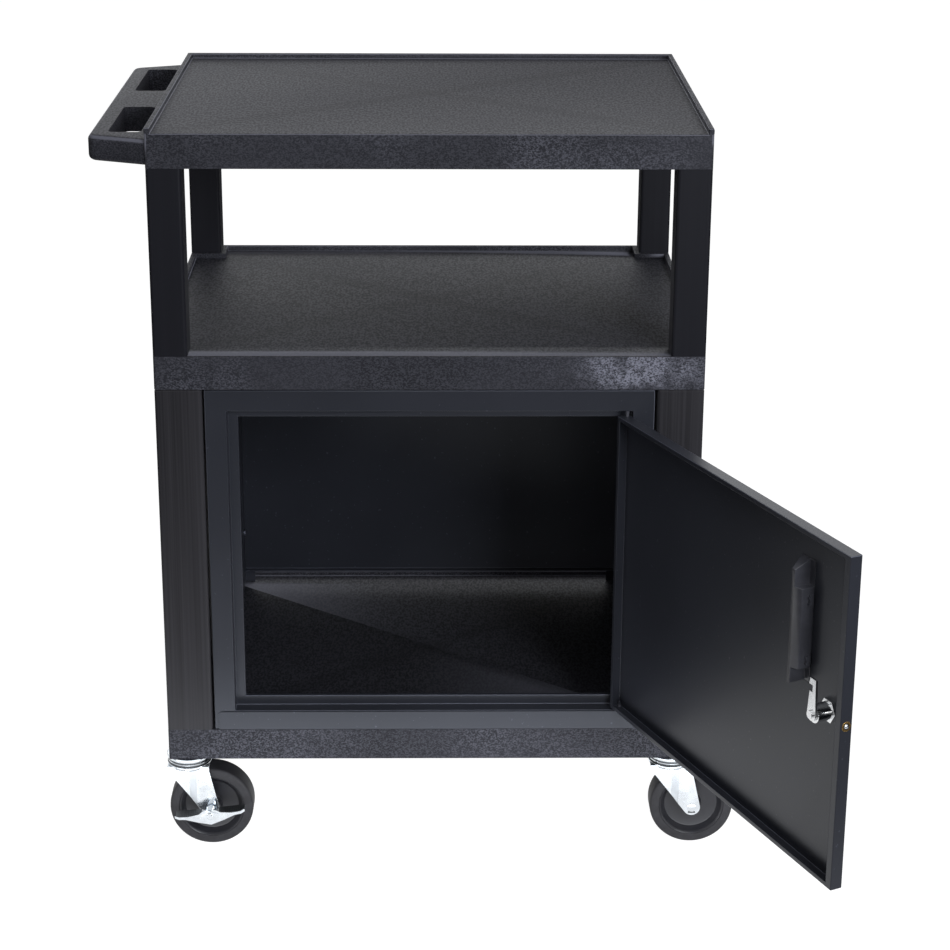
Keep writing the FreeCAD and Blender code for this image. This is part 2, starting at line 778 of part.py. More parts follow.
def pull_groove(name, front, inset):
    """The tall part of the pull cup, drawn in by an inset. It slopes towards the hinge, and its top leans to the door."""
    free, hinge = PULL_FREE + s.pull_ledge + inset, PULL_HINGE - inset
    back, high = PULL_BACK - inset, PULL_HIGH - inset
    block = pad_up(f"{name}_block", PULL_LOW + inset, high, [
        (free, front),
        (hinge, front),
        (hinge, DOOR_SKIN_BACK),
        (hinge - s.pull_slope, back),
        (free, back),
    ])
    roof = pad_across(f"{name}_roof", PULL_FREE, PULL_HINGE, [
        (DOOR_SKIN_BACK, high),
        (back, high - s.pull_roof),
        (back + s.overrun, high - s.pull_roof),
        (back + s.overrun, high + s.overrun),
        (DOOR_SKIN_BACK, high + s.overrun),
    ])
    return cut(name, block, roof)


def pull_scoop(name, front, inset):
    """The middle of the pull cup, wider by a ledge and slanting to a lower wall, drawn in by an inset."""
    free, hinge = PULL_FREE + inset, PULL_HINGE - inset
    low = PULL_LOW + s.pull_box_rise
    return pad_up(name, low + inset, low + s.pull_box_height - inset, [
        (free, front),
        (hinge, front),
        (hinge, DOOR_SKIN_BACK),
        (hinge - s.pull_slope, PULL_BACK - inset),
        (free + s.pull_ledge, PULL_BACK - inset),
        (free, DOOR_SKIN_BACK + s.pull_box_depth - inset),
    ])


def door_panel():
    """A pan of folded sheet with return lips, cut for the pull cup, the lock, the catch and the hinge bushes."""
    sheet_edge = s.sheet_thickness
    pan = box("door_pan", (DOOR_FREE, DOOR_FRONT, DOOR_LOW), (DOOR_HINGE, DOOR_BACK, DOOR_HIGH))
    inside = box("door_inside", (DOOR_FREE + sheet_edge, DOOR_SKIN_BACK, DOOR_LOW + sheet_edge),
                 (DOOR_HINGE - sheet_edge, DOOR_BACK - sheet_edge, DOOR_HIGH - sheet_edge))
    mouth = box("door_mouth", (DOOR_FREE + s.door_free_lip, DOOR_SKIN_BACK, DOOR_LOW + s.door_edge_lip),
                (DOOR_HINGE - s.door_edge_lip, DOOR_BACK + s.overrun, DOOR_HIGH - s.door_edge_lip))
    pull = pull_plate("door_pull_hole", DOOR_FRONT - s.overrun, DOOR_SKIN_BACK + s.overrun, s.pull_clearance)
    lock = rod("door_lock_hole", "y", s.lock_barrel_radius, (LOCK_X, DOOR_FRONT - s.overrun, LOCK_Z),
               s.sheet_thickness + s.overrun * 2)
    catch = rod("door_catch_hole", "x", s.catch_sleeve_radius, (DOOR_FREE - s.overrun, CATCH_Y, CATCH_Z),
                sheet_edge + s.overrun * 2)
    x, y = HINGE
    bushes = [rod("door_bush_hole", "z", s.hinge_collar_radius, (x, y, low - s.overrun),
                  sheet_edge + s.overrun * 2) for low in (DOOR_LOW, DOOR_HIGH - sheet_edge)]
    return cut("door_panel", pan, inside, mouth, pull, lock, catch, *bushes)


def hinge_pins():
    """Upper and lower pivot pins, fixed in the frame."""
    x, y = HINGE
    lower = rod("hinge_pin", "z", s.hinge_pin_radius, (x, y, OPENING_LOW - s.hinge_pin_anchor),
                s.hinge_pin_anchor + s.door_bottom_gap + s.hinge_pin_engagement)
    upper = rod("hinge_pin", "z", s.hinge_pin_radius, (x, y, DOOR_HIGH - s.hinge_pin_engagement),
                s.hinge_pin_anchor + s.door_top_gap + s.hinge_pin_engagement)
    group = doc.addObject("Part::Compound", "hinge_pins")
    group.Links = [lower, upper]
    return group


def hinge_bush(name, low, high):
    x, y = HINGE
    sleeve = rod(f"{name}_sleeve", "z", s.hinge_collar_radius, (x, y, low), high - low)
    bore = rod(f"{name}_bore", "z", s.hinge_pin_radius + s.running_clearance, (x, y, low - s.overrun),
               high - low + s.overrun * 2)
    return cut(name, sleeve, bore)


def hinge_bushes():
    """Bushes in the door's top and bottom edges that carry it on the pins."""
    group = doc.addObject("Part::Compound", "hinge_bushes")
    group.Links = [
        hinge_bush("lower_bush", OPENING_LOW + s.bush_end_gap, DOOR_LOW + s.hinge_bush_depth),
        hinge_bush("upper_bush", DOOR_HIGH - s.hinge_bush_depth, OPENING_HIGH - s.bush_end_gap),
    ]
    return group


def pull_handle():
    """A moulded finger cup: a tall groove, a wider middle, a plug in the door's hole and a bezel on the door's face."""
    flush = as_size(0)
    cup = fuse("pull_cup", pull_plate("pull_plug", DOOR_FRONT, DOOR_SKIN_BACK, flush),
               pull_plate("pull_bezel", DOOR_FRONT - s.pull_bezel_thickness, DOOR_FRONT, s.pull_bezel_border),
               pull_groove("pull_groove", DOOR_FRONT, flush), pull_scoop("pull_scoop", DOOR_FRONT, flush))
    front = DOOR_FRONT - s.pull_bezel_thickness - s.overrun
    return cut("pull_handle", cup, pull_groove("groove_hollow", front, s.pull_wall),
               pull_scoop("scoop_hollow", front, s.pull_wall))


def lock_barrel():
    """The fixed body of the lock, with its face ring outside and a bore for the plug."""
    barrel = rod("barrel_body", "y", s.lock_barrel_radius, (LOCK_X, DOOR_FRONT, LOCK_Z), LOCK_END - DOOR_FRONT)
    face = rod("barrel_face", "y", s.lock_face_radius, (LOCK_X, DOOR_FRONT - s.lock_face_thickness, LOCK_Z),
               s.lock_face_thickness)
    bore = rod("barrel_bore", "y", s.lock_plug_radius + s.running_clearance,
               (LOCK_X, DOOR_FRONT - s.lock_face_thickness - s.overrun, LOCK_Z),
               LOCK_END - DOOR_FRONT + s.lock_face_thickness + s.overrun * 2)
    return cut("lock_barrel", fuse("barrel_solid", barrel, face), bore)


def lock_nut():
    """The hexagon nut that draws the barrel against the door."""
    nut = doc.addObject("Part::Prism", "nut_prism")
    nut.Polygon = HEXAGON_SIDES
    nut.Placement = FreeCAD.Placement(FreeCAD.Vector(), AXES["y"])
    nut.setExpression("Circumradius", f"{s.lock_nut_width.text} / 2 / cos(180 deg / {HEXAGON_SIDES})")
    bind(nut, "Height", s.lock_nut_thickness)
    place(nut, (LOCK_X, DOOR_SKIN_BACK, LOCK_Z))
    bore = rod("nut_bore", "y", s.lock_barrel_radius, (LOCK_X, DOOR_SKIN_BACK - s.overrun, LOCK_Z),
               s.lock_nut_thickness + s.overrun * 2)
    return cut("lock_nut", nut, bore)


def lock_plug():
    """The turning core, with a keyway in its face and a hole for the cam's screw."""
    front = DOOR_FRONT - s.lock_face_thickness
    end = LOCK_END + s.cam_gap
    plug = rod("plug_body", "y", s.lock_plug_radius, (LOCK_X, front, LOCK_Z), end - front)
    keyway = box("plug_keyway", (LOCK_X - s.keyway_width / 2, front - s.overrun, LOCK_Z - s.keyway_height / 2),
                 (LOCK_X + s.keyway_width / 2, front + s.keyway_depth, LOCK_Z + s.keyway_height / 2))
    thread = rod("plug_thread", "y", s.cam_screw_radius, (LOCK_X, end - s.cam_screw_depth, LOCK_Z),
                 s.cam_screw_depth + s.overrun)
    return cut("lock_plug", plug, keyway, thread)


def lock_cam():
    """The flat cam: a round foot on the plug, a tapering arm and a hooked tip that points up."""
    front = LOCK_END + s.cam_gap
    back = front + s.cam_thickness
    tip = LOCK_Z + s.cam_length
    hook_low = tip - s.cam_tip_height
    arm = pad_deep("cam_arm", front, back, [
        (LOCK_X - s.cam_foot_radius, LOCK_Z),
        (LOCK_X + s.cam_foot_radius, LOCK_Z),
        (LOCK_X + s.cam_waist, hook_low - s.cam_tip_height),
        (LOCK_X, hook_low - s.cam_tip_height),
        (LOCK_X, hook_low),
        (LOCK_X + s.cam_hook_reach, hook_low),
        (LOCK_X + s.cam_waist, tip),
        (LOCK_X - s.cam_waist, tip),
    ])
    foot = rod("cam_foot", "y", s.cam_foot_radius, (LOCK_X, front, LOCK_Z), s.cam_thickness)
    hole = rod("cam_hole", "y", s.cam_screw_radius, (LOCK_X, front - s.overrun, LOCK_Z),
               s.cam_thickness + s.overrun * 2)
    return cut("lock_cam", fuse("cam_plate", arm, foot), hole)


def cam_screw():
    end = LOCK_END + s.cam_gap + s.cam_thickness
    shank_start = LOCK_END + s.cam_gap - s.cam_screw_depth
    shank = rod("cam_screw_shank", "y", s.cam_screw_radius, (LOCK_X, shank_start, LOCK_Z), end - shank_start)
    head = rod("cam_screw_head", "y", s.cam_screw_head_radius, (LOCK_X, end, LOCK_Z), s.cam_screw_head_height)
    return fuse("cam_screw", shank, head)


def catch_sleeve():
    """The brass sleeve of the ball catch, with its flange on the door's free edge."""
    flange = rod("sleeve_flange", "x", s.catch_flange_radius, (DOOR_FREE - s.catch_flange_thickness, CATCH_Y, CATCH_Z),
                 s.catch_flange_thickness)
    body = rod("sleeve_body", "x", s.catch_sleeve_radius, (DOOR_FREE, CATCH_Y, CATCH_Z), s.catch_sleeve_length)
    bore = rod("sleeve_bore", "x", s.catch_bore_radius,
               (DOOR_FREE - s.catch_flange_thickness - s.overrun, CATCH_Y, CATCH_Z),
               s.catch_bore_depth + s.catch_flange_thickness + s.overrun)
    return cut("catch_sleeve", fuse("sleeve_solid", flange, body), bore)


def catch_ball():
    """The sprung ball, standing a little proud of the sleeve."""
    ball = doc.addObject("Part::Sphere", "ball_sphere")
    bind(ball, "Radius", s.catch_ball_radius)
    face = DOOR_FREE - s.catch_flange_thickness
    place(ball, (face - s.catch_ball_show + s.catch_ball_radius, CATCH_Y, CATCH_Z))
    group = doc.addObject("Part::Compound", "catch_ball")
    group.Links = [ball]
    return group


def make_door():
    piece(hinge_pins(), "hinge_pins")
    hang(hinge_bushes(), "hinge_bushes")
    hang(door_panel(), "door_panel")
    hang(pull_handle(), "pull_handle")
    hang(lock_barrel(), "lock_barrel")
    hang(lock_nut(), "lock_nut")
    hang(lock_plug(), "lock_plug")
    hang(lock_cam(), "lock_cam")
    hang(cam_screw(), "cam_screw")
    hang(catch_sleeve(), "catch_sleeve")
    hang(catch_ball(), "catch_ball")


# Casters

AXLE_Z = s.wheel_radius
FORK_HALF = s.fork_gap / 2 + s.fork_thickness
CROWN_LOW = s.wheel_radius * 2 + s.fork_wheel_clearance
CROWN_HIGH = CROWN_LOW + s.fork_crown_thickness
AXLE_END = FORK_HALF + s.axle_head_thickness
BRAKE_BACK = AXLE_END + s.brake_gap


def caster_stem(name, x, y):
    """The stem that plugs into the shelf, with its upper race."""
    stem = rod(f"{name}_pin", "z", s.stem_radius, (x, y, BOTTOM_UNDERSIDE), s.stem_length)
    race = rod(f"{name}_race", "z", s.race_radius, (x, y, BOTTOM_UNDERSIDE - s.race_thickness), s.race_thickness)
    pivot = rod(f"{name}_pivot", "z", s.stem_radius, (x, y, CROWN_LOW), BOTTOM_UNDERSIDE - CROWN_LOW)
    return fuse(name, stem, race, pivot)


def caster_fork(name, x, y):
    """A pressed fork: lower race, crown plate and two legs that taper back to the axle."""
    axle_x = x + s.wheel_trail
    foot = s.fork_foot_radius
    low_y, high_y = y - FORK_HALF, y + FORK_HALF
    crown = box(f"{name}_crown", (x - s.fork_half_length, low_y, CROWN_LOW),
                (x + s.fork_half_length, high_y, CROWN_HIGH))
    race_high = BOTTOM_UNDERSIDE - s.race_thickness - s.race_gap
    race = rod(f"{name}_race", "z", s.race_radius, (x, y, CROWN_HIGH), race_high - CROWN_HIGH)
    parts = [crown, race]
    for front in (low_y, high_y - s.fork_thickness):
        parts.append(pad_deep(f"{name}_leg", front, front + s.fork_thickness, [
            (x - s.fork_half_length, CROWN_LOW),
            (axle_x - foot, AXLE_Z),
            (axle_x + foot, AXLE_Z),
            (x + s.fork_half_length, CROWN_LOW),
        ]))
        parts.append(rod(f"{name}_foot", "y", foot, (axle_x, front, AXLE_Z), s.fork_thickness))
    pivot = rod(f"{name}_pivot_hole", "z", s.stem_radius + s.running_clearance, (x, y, CROWN_LOW - s.overrun),
                race_high - CROWN_LOW + s.overrun * 2)
    axle = rod(f"{name}_axle_hole", "y", s.axle_radius, (axle_x, low_y - s.overrun, AXLE_Z),
               FORK_HALF * 2 + s.overrun * 2)
    return cut(name, fuse(f"{name}_pressing", *parts), pivot, axle)


def caster_axle(name, x, y, brake):
    """The axle bolt with a head at each end. Under a brake lever the front end is longer."""
    axle_x = x + s.wheel_trail
    front = y - (BRAKE_BACK + s.brake_wing_depth + s.brake_thickness if brake else AXLE_END)
    bolt = rod(f"{name}_bolt", "y", s.axle_radius, (axle_x, front, AXLE_Z), y + AXLE_END - front)
    heads = [rod(f"{name}_head", "y", s.axle_head_radius, (axle_x, start, AXLE_Z), s.axle_head_thickness)
             for start in (y - AXLE_END, y + FORK_HALF)]
    return fuse(name, bolt, *heads)


def wheel_core(name, x, y):
    """The moulded wheel: hub, thin web and rim."""
    rim = s.wheel_radius - s.tyre_thickness
    inner_rim = rim - s.rim_thickness
    half_hub, half_web, half_rim = (size / 2 for size in (s.hub_width, s.web_thickness, s.wheel_width))
    bore = s.axle_radius + s.running_clearance
    return turn(name, (x + s.wheel_trail, y, AXLE_Z), [
        (bore, -half_hub),
        (s.hub_radius, -half_hub),
        (s.hub_radius, -half_web),
        (inner_rim, -half_web),
        (rim, -half_rim),
        (rim, half_rim),
        (inner_rim, half_web),
        (s.hub_radius, half_web),
        (s.hub_radius, half_hub),
        (bore, half_hub),
    ])


def tyre(name, x, y):
    """The tread ring, with rounded shoulders."""
    inner = s.wheel_radius - s.tyre_thickness
    half = s.wheel_width / 2
    ring_body = turn(name, (x + s.wheel_trail, y, AXLE_Z),
                     [(inner, -half), (s.wheel_radius, -half), (s.wheel_radius, half), (inner, half)])
    soften(ring_body, "Fillet", s.tyre_rounding, edges_where(ring_body, tread_shoulders))
    return ring_body


def tread_shoulders(edge, bounds):
    round_edge = edge.BoundBox
    return round_edge.YLength < TOLERANCE and abs(round_edge.XLength - bounds.XLength) < TOLERANCE


def brake_lever(name, x, y):
    """A rocking lever on the front of the axle: a hub, a foot wing at each side and a web across their front."""
    axle_x = x + s.wheel_trail
    back = y - BRAKE_BACK
    front = back - s.brake_wing_depth
    half = s.brake_thickness / 2
    web = pad_deep(f"{name}_web", front, front + s.brake_thickness, [
        (-s.brake_half_span, -half),
        (-s.brake_web_half, -half),
        (0, -s.brake_web_drop),
        (s.brake_web_half, -half),
        (s.brake_half_span, -half),
        (s.brake_half_span, half),
        (s.brake_web_half, half),
        (0, s.brake_web_rise),
        (-s.brake_web_half, half),
        (-s.brake_half_span, half),
    ])
    hub = rod(f"{name}_hub", "y", s.brake_hub_radius, (0, front, 0), s.brake_wing_depth)
    wings = []
    for sign in (-1, 1):
        low_x, high_x = side(sign, s.brake_wing_root, s.brake_half_span)
        wings.append(box(f"{name}_wing", (low_x, front, -half), (high_x, back, half)))
    hole = rod(f"{name}_hole", "y", s.axle_radius + s.running_clearance, (0, front - s.overrun, 0),
               s.brake_wing_depth + s.overrun * 2)
    lever = cut(name, fuse(f"{name}_plate", web, hub, *wings), hole)
    lever.setExpression("Placement", (
        f"create(<<placement>>; create(<<vector>>; {axle_x.text}; 0; {AXLE_Z.text}); "
        f"create(<<rotation>>; create(<<vector>>; 0; 1; 0); -{s.brake_tilt.text}))"))
    return lever


def make_casters():
    for corner, signs in CORNERS.items():
        x, y = caster_place(signs)
        braked = signs[0] < 0
        piece(caster_stem(f"caster_stem_{corner}", x, y), f"caster_stem_{corner}")
        piece(caster_fork(f"caster_fork_{corner}", x, y), f"caster_fork_{corner}")
        piece(caster_axle(f"caster_axle_{corner}", x, y, braked), f"caster_axle_{corner}")
        piece(wheel_core(f"wheel_core_{corner}", x, y), f"wheel_core_{corner}")
        piece(tyre(f"tyre_{corner}", x, y), f"tyre_{corner}")
        if braked:
            piece(brake_lever(f"brake_lever_{corner}", x, y), f"brake_lever_{corner}")


def check_document():
    """Stops with the names of what failed to build."""
    failed = [thing.Name for thing in doc.Objects if {"Invalid", "Error"} & set(thing.State)]
    failed += [node.Label for node in nodes if node.Shape.isNull() or not node.Shape.isValid()]
    if failed:
        raise RuntimeError(f"not built: {failed}")


def main():
    make_shelves()
    make_legs()
    make_cabinet()
    make_door()
    make_casters()
    doc.recompute()
    check_document()
    os.makedirs("parts", exist_ok=True)
    for node in nodes:
        node.Shape.exportStep(f"parts/{node.Label}.step")
    print(f"{len(nodes)} pieces written")


main()
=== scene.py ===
"""Dresses the utility cart: moulded shelves, steel cabinet, bright fittings and casters, on a plain stage."""

import json
import math

import bmesh
import bpy
from bpy.props import FloatProperty, FloatVectorProperty, PointerProperty
from mathutils import Matrix, Vector


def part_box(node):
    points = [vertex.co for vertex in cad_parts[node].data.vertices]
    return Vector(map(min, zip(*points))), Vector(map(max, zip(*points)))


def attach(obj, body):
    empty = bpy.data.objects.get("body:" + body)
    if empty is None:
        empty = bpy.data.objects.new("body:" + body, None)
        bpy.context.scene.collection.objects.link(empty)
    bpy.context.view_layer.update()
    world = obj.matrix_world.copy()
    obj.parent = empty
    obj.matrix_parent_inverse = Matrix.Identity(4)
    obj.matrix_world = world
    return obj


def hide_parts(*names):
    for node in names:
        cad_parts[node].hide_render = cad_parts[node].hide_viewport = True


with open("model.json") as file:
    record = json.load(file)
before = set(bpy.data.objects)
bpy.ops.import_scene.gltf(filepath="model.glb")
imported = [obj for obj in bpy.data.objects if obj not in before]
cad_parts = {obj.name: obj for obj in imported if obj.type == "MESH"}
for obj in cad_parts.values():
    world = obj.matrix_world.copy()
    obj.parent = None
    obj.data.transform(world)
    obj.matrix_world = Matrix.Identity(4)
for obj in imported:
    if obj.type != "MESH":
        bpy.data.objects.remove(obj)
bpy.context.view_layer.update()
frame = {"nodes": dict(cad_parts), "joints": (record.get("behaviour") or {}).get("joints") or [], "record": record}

bl_info = {
    "name": "Utility cart",
    "version": (1, 0, 0),
    "blender": (4, 5, 0),
    "location": "View3D > Sidebar > Cart",
    "description": "Finishes, formed fittings and a stage for a utility cart",
    "category": "Object",
}

MM = 0.001
CORNERS = ("front_left", "front_right", "rear_left", "rear_right")
BRAKED = ("front_left", "rear_left")
JOINTS = {joint["name"]: joint for joint in frame["joints"]}

# Meshing: angles in degrees, the gap that welds, and steps in a full turn
SHARP_ANGLE = 32
FLAT_ANGLE = 0.5
WELD = 0.002 * MM
RING_STEPS = 64
WHEEL_STEPS = 96
PIN_STEPS = 32

# How far in from the outside the shelves' edges are rounded
SKIRT_RIM = 8 * MM

# The part of the catch's sleeve that shows at the door's edge
SLEEVE_SHOW = 2 * MM

# The snap tongues of the pull cup, in mm on the shut door: a leaf and two barbs at each height
TONGUE_X = -151.0
TONGUE_Y = -225.0
TONGUE_HEIGHTS = (398.5, 462.5)
TONGUE_LEAF = ((-1.6, 0.0, -6.0), (0.4, 5.0, 6.0))
LOWER_BARB = ((-2.8, 3.2, -4.4), (0.4, 6.4, -2.0))
UPPER_BARB = ((-2.8, 3.2, 2.0), (0.4, 6.4, 4.4))


class CartFinish(bpy.types.PropertyGroup):
    """Colours of the cart's finishes."""

    moulding: FloatVectorProperty(name="Moulding", description="Shelves and push handle", subtype="COLOR",
                                  size=3, min=0, max=1, default=(0.045, 0.045, 0.054))
    upper_leg: FloatVectorProperty(name="Upper legs", description="Legs of the open bay", subtype="COLOR",
                                   size=3, min=0, max=1, default=(0.0145, 0.0145, 0.0195))
    lower_leg: FloatVectorProperty(name="Lower legs", description="Legs beside the cabinet", subtype="COLOR",
                                   size=3, min=0, max=1, default=(0.040, 0.038, 0.043))
    coat: FloatVectorProperty(name="Powder coat", description="Cabinet and door", subtype="COLOR",
                              size=3, min=0, max=1, default=(0.038, 0.040, 0.051))
    pull: FloatVectorProperty(name="Pull cup", description="Moulded finger cup", subtype="COLOR",
                              size=3, min=0, max=1, default=(0.10, 0.10, 0.117))
    zinc: FloatVectorProperty(name="Zinc", description="Forks, stems and brake levers", subtype="COLOR",
                              size=3, min=0, max=1, default=(0.76, 0.80, 0.84))
    nickel: FloatVectorProperty(name="Nickel", description="Lock and screws", subtype="COLOR",
                                size=3, min=0, max=1, default=(0.74, 0.75, 0.76))
    brass: FloatVectorProperty(name="Brass", description="Sleeve of the ball catch", subtype="COLOR",
                               size=3, min=0, max=1, default=(0.72, 0.46, 0.17))
    tyre: FloatVectorProperty(name="Tyres", description="Tread rings", subtype="COLOR",
                              size=3, min=0, max=1, default=(0.034, 0.033, 0.037))
    wheel: FloatVectorProperty(name="Wheels", description="Moulded wheel centres", subtype="COLOR",
                               size=3, min=0, max=1, default=(0.019, 0.019, 0.024))


class CartShape(bpy.types.PropertyGroup):
    """Edge roundings that the dressing adds."""

    moulded_edge: FloatProperty(name="Moulded edge", description="Rounding of moulded edges",
                                subtype="DISTANCE", default=1.4 * MM)
    folded_edge: FloatProperty(name="Folded edge", description="Outer bend of folded sheet",
                               subtype="DISTANCE", default=0.9 * MM)
    fitting_edge: FloatProperty(name="Fitting edge", description="Rounding of small fittings",
                                subtype="DISTANCE", default=0.4 * MM)
    pull_edge: FloatProperty(name="Pull edge", description="Rounding of the pull cup",
                             subtype="DISTANCE", default=0.6 * MM)
    fork_edge: FloatProperty(name="Fork edge", description="Rounding of the pressed forks",
                             subtype="DISTANCE", default=0.5 * MM)


class CartStage(bpy.types.PropertyGroup):
    """Camera and lights."""

    eye: FloatVectorProperty(name="Eye", description="Camera place", subtype="TRANSLATION", size=3,
                             default=(0.0055, -2.5943, 1.3618))
    yaw: FloatProperty(name="Yaw", description="Turn of the view to the right", subtype="ANGLE",
                       default=math.radians(1.074))
    pitch: FloatProperty(name="Pitch", description="Dip of the view", subtype="ANGLE",
                         default=math.radians(18.256))
    roll: FloatProperty(name="Roll", description="Turn of the picture", subtype="ANGLE",
                        default=math.radians(-0.329))
    lens: FloatProperty(name="Lens", description="Focal length", unit="CAMERA", default=85.396)
    shift: FloatProperty(name="Shift", description="Upright lens shift", default=-0.1)
    overhead_power: FloatProperty(name="Overhead", description="Power of the overhead light",
                                  subtype="POWER", default=15.0)
    front_power: FloatProperty(name="Front", description="Power of the front light",
                               subtype="POWER", default=44.0)
    low_power: FloatProperty(name="Low", description="Power of the strip on the floor in front",
                             subtype="POWER", default=1.35)
    back_power: FloatProperty(name="Back", description="Power of the light behind",
                              subtype="POWER", default=5.0)
    sky: FloatProperty(name="Sky", description="Strength of the surrounding light", default=0.065)


# Shader expressions


class Flow:
    """A shader output that takes part in Python sums."""

    def __init__(self, shade, socket):
        self.shade = shade
        self.socket = socket

    def __add__(self, other):
        return self.shade.sum("ADD", self, other)

    def __sub__(self, other):
        return self.shade.sum("SUBTRACT", self, other)

    def __mul__(self, other):
        return self.shade.sum("MULTIPLY", self, other)

    def __radd__(self, other):
        return self.shade.sum("ADD", other, self)

    def __rsub__(self, other):
        return self.shade.sum("SUBTRACT", other, self)

    def __rmul__(self, other):
        return self.shade.sum("MULTIPLY", other, self)

    def __abs__(self):
        return self.shade.sum("ABSOLUTE", self)

    def part(self, axis):
        """One component of a vector."""
        return self.shade.add("SeparateXYZ", {}, {"Vector": self}, axis)

    def ramp(self, low, high):
        """A smooth rise from 0 at low to 1 at high."""
        settings = {"interpolation_type": "SMOOTHSTEP"}
        return self.shade.add("MapRange", settings, {"Value": self, "From Min": low, "From Max": high})


class NodeTree:
    """Adds nodes to a material or a world."""

    def __init__(self, tree):
        self.tree = tree

    def add(self, kind, settings, inputs, output=0):
        """Adds any node: its settings first, then its sockets' values or links."""
        node = self.tree.nodes.new(f"ShaderNode{kind}")
        for name, value in settings.items():
            setattr(node, name, value)
        for name, value in inputs.items():
            self.feed(node.inputs[name], value)
        return Flow(self, node.outputs[output])

    def feed(self, socket, value):
        """Links a flow to a socket, or sets the socket's value."""
        if isinstance(value, Flow):
            self.tree.links.new(value.socket, socket)
        elif socket.type == "RGBA" and len(value) == 3:
            socket.default_value = (*value, 1)
        else:
            socket.default_value = value

    def sum(self, operation, *terms):
        """Adds a Math node."""
        return self.add("Math", {"operation": operation}, dict(enumerate(terms)))


class Shade(NodeTree):
    """A material under construction."""

    def __init__(self, name, **constants):
        self.material = bpy.data.materials.new(name)
        self.material.use_nodes = True
        super().__init__(self.material.node_tree)
        self.surface = self.tree.nodes["Principled BSDF"]
        for socket, value in constants.items():
            self.surface.inputs[socket.replace("_", " ")].default_value = value

    def mix(self, factor, first, second):
        """A blend of two colours."""
        return self.add("Mix", {"data_type": "RGBA"}, {0: factor, 6: first, 7: second}, 2)

    def place(self, scale=(1, 1, 1)):
        """The surface point in the cart's frame at rest, stretched by a scale."""
        where = self.add("TexCoord", {}, {}, "Object")
        return self.add("Mapping", {}, {"Vector": where, "Scale": scale})

    def facing(self, axis):
        """How far the surface faces along an axis of the cart."""
        return self.add("TexCoord", {}, {}, "Normal").part(axis)

    def highlight_rim(self):
        """1 on rounded edges that turn from upright to level: where a highlight is painted."""
        rise = self.facing("Z")
        return rise.ramp(0.25, 0.5) * rise.ramp(0.95, 0.8)

    def noise(self, scale, detail=2.0, stretch=(1, 1, 1), warp=0.0):
        """Cloudy values about 0.5. A larger scale gives finer clouds."""
        inputs = {"Vector": self.place(stretch), "Scale": scale, "Detail": detail, "Distortion": warp}
        return self.add("TexNoise", {}, inputs, "Fac")

    def bump(self, height, distance, strength):
        """A normal that follows small heights."""
        return self.add("Bump", {}, {"Strength": strength, "Distance": distance, "Height": height})

    def finish(self, **varying):
        """Links what varies over the surface and returns the material."""
        for socket, value in varying.items():
            self.feed(self.surface.inputs[socket.replace("_", " ")], value)
        return self.material


def tone(colour, factor):
    """A lighter or darker shade of a colour."""
    return tuple(min(1.0, channel * factor) for channel in colour)


# Finishes

# The pale patch on the middle skirt, flow marks with a painted highlight over them, and the painted shade along
# the crossing sink marks on the decks, in metres
FLOW_HIGHLIGHT_X = 0.235
FLOW_HIGHLIGHT_Z = 0.592
FLOW_HIGHLIGHT_ACROSS = (0.09, 0.02)
FLOW_HIGHLIGHT_RISE = (0.03, 0.008)
SKIRT_FRONT = (0.222, 0.226)
SINK_SHADE = (0.022, 0.012)

# Painted highlight: a lighter colour on rounded edges
EDGE_HIGHLIGHT_STRENGTH = 0.7
EDGE_HIGHLIGHT_TONE = 6.0


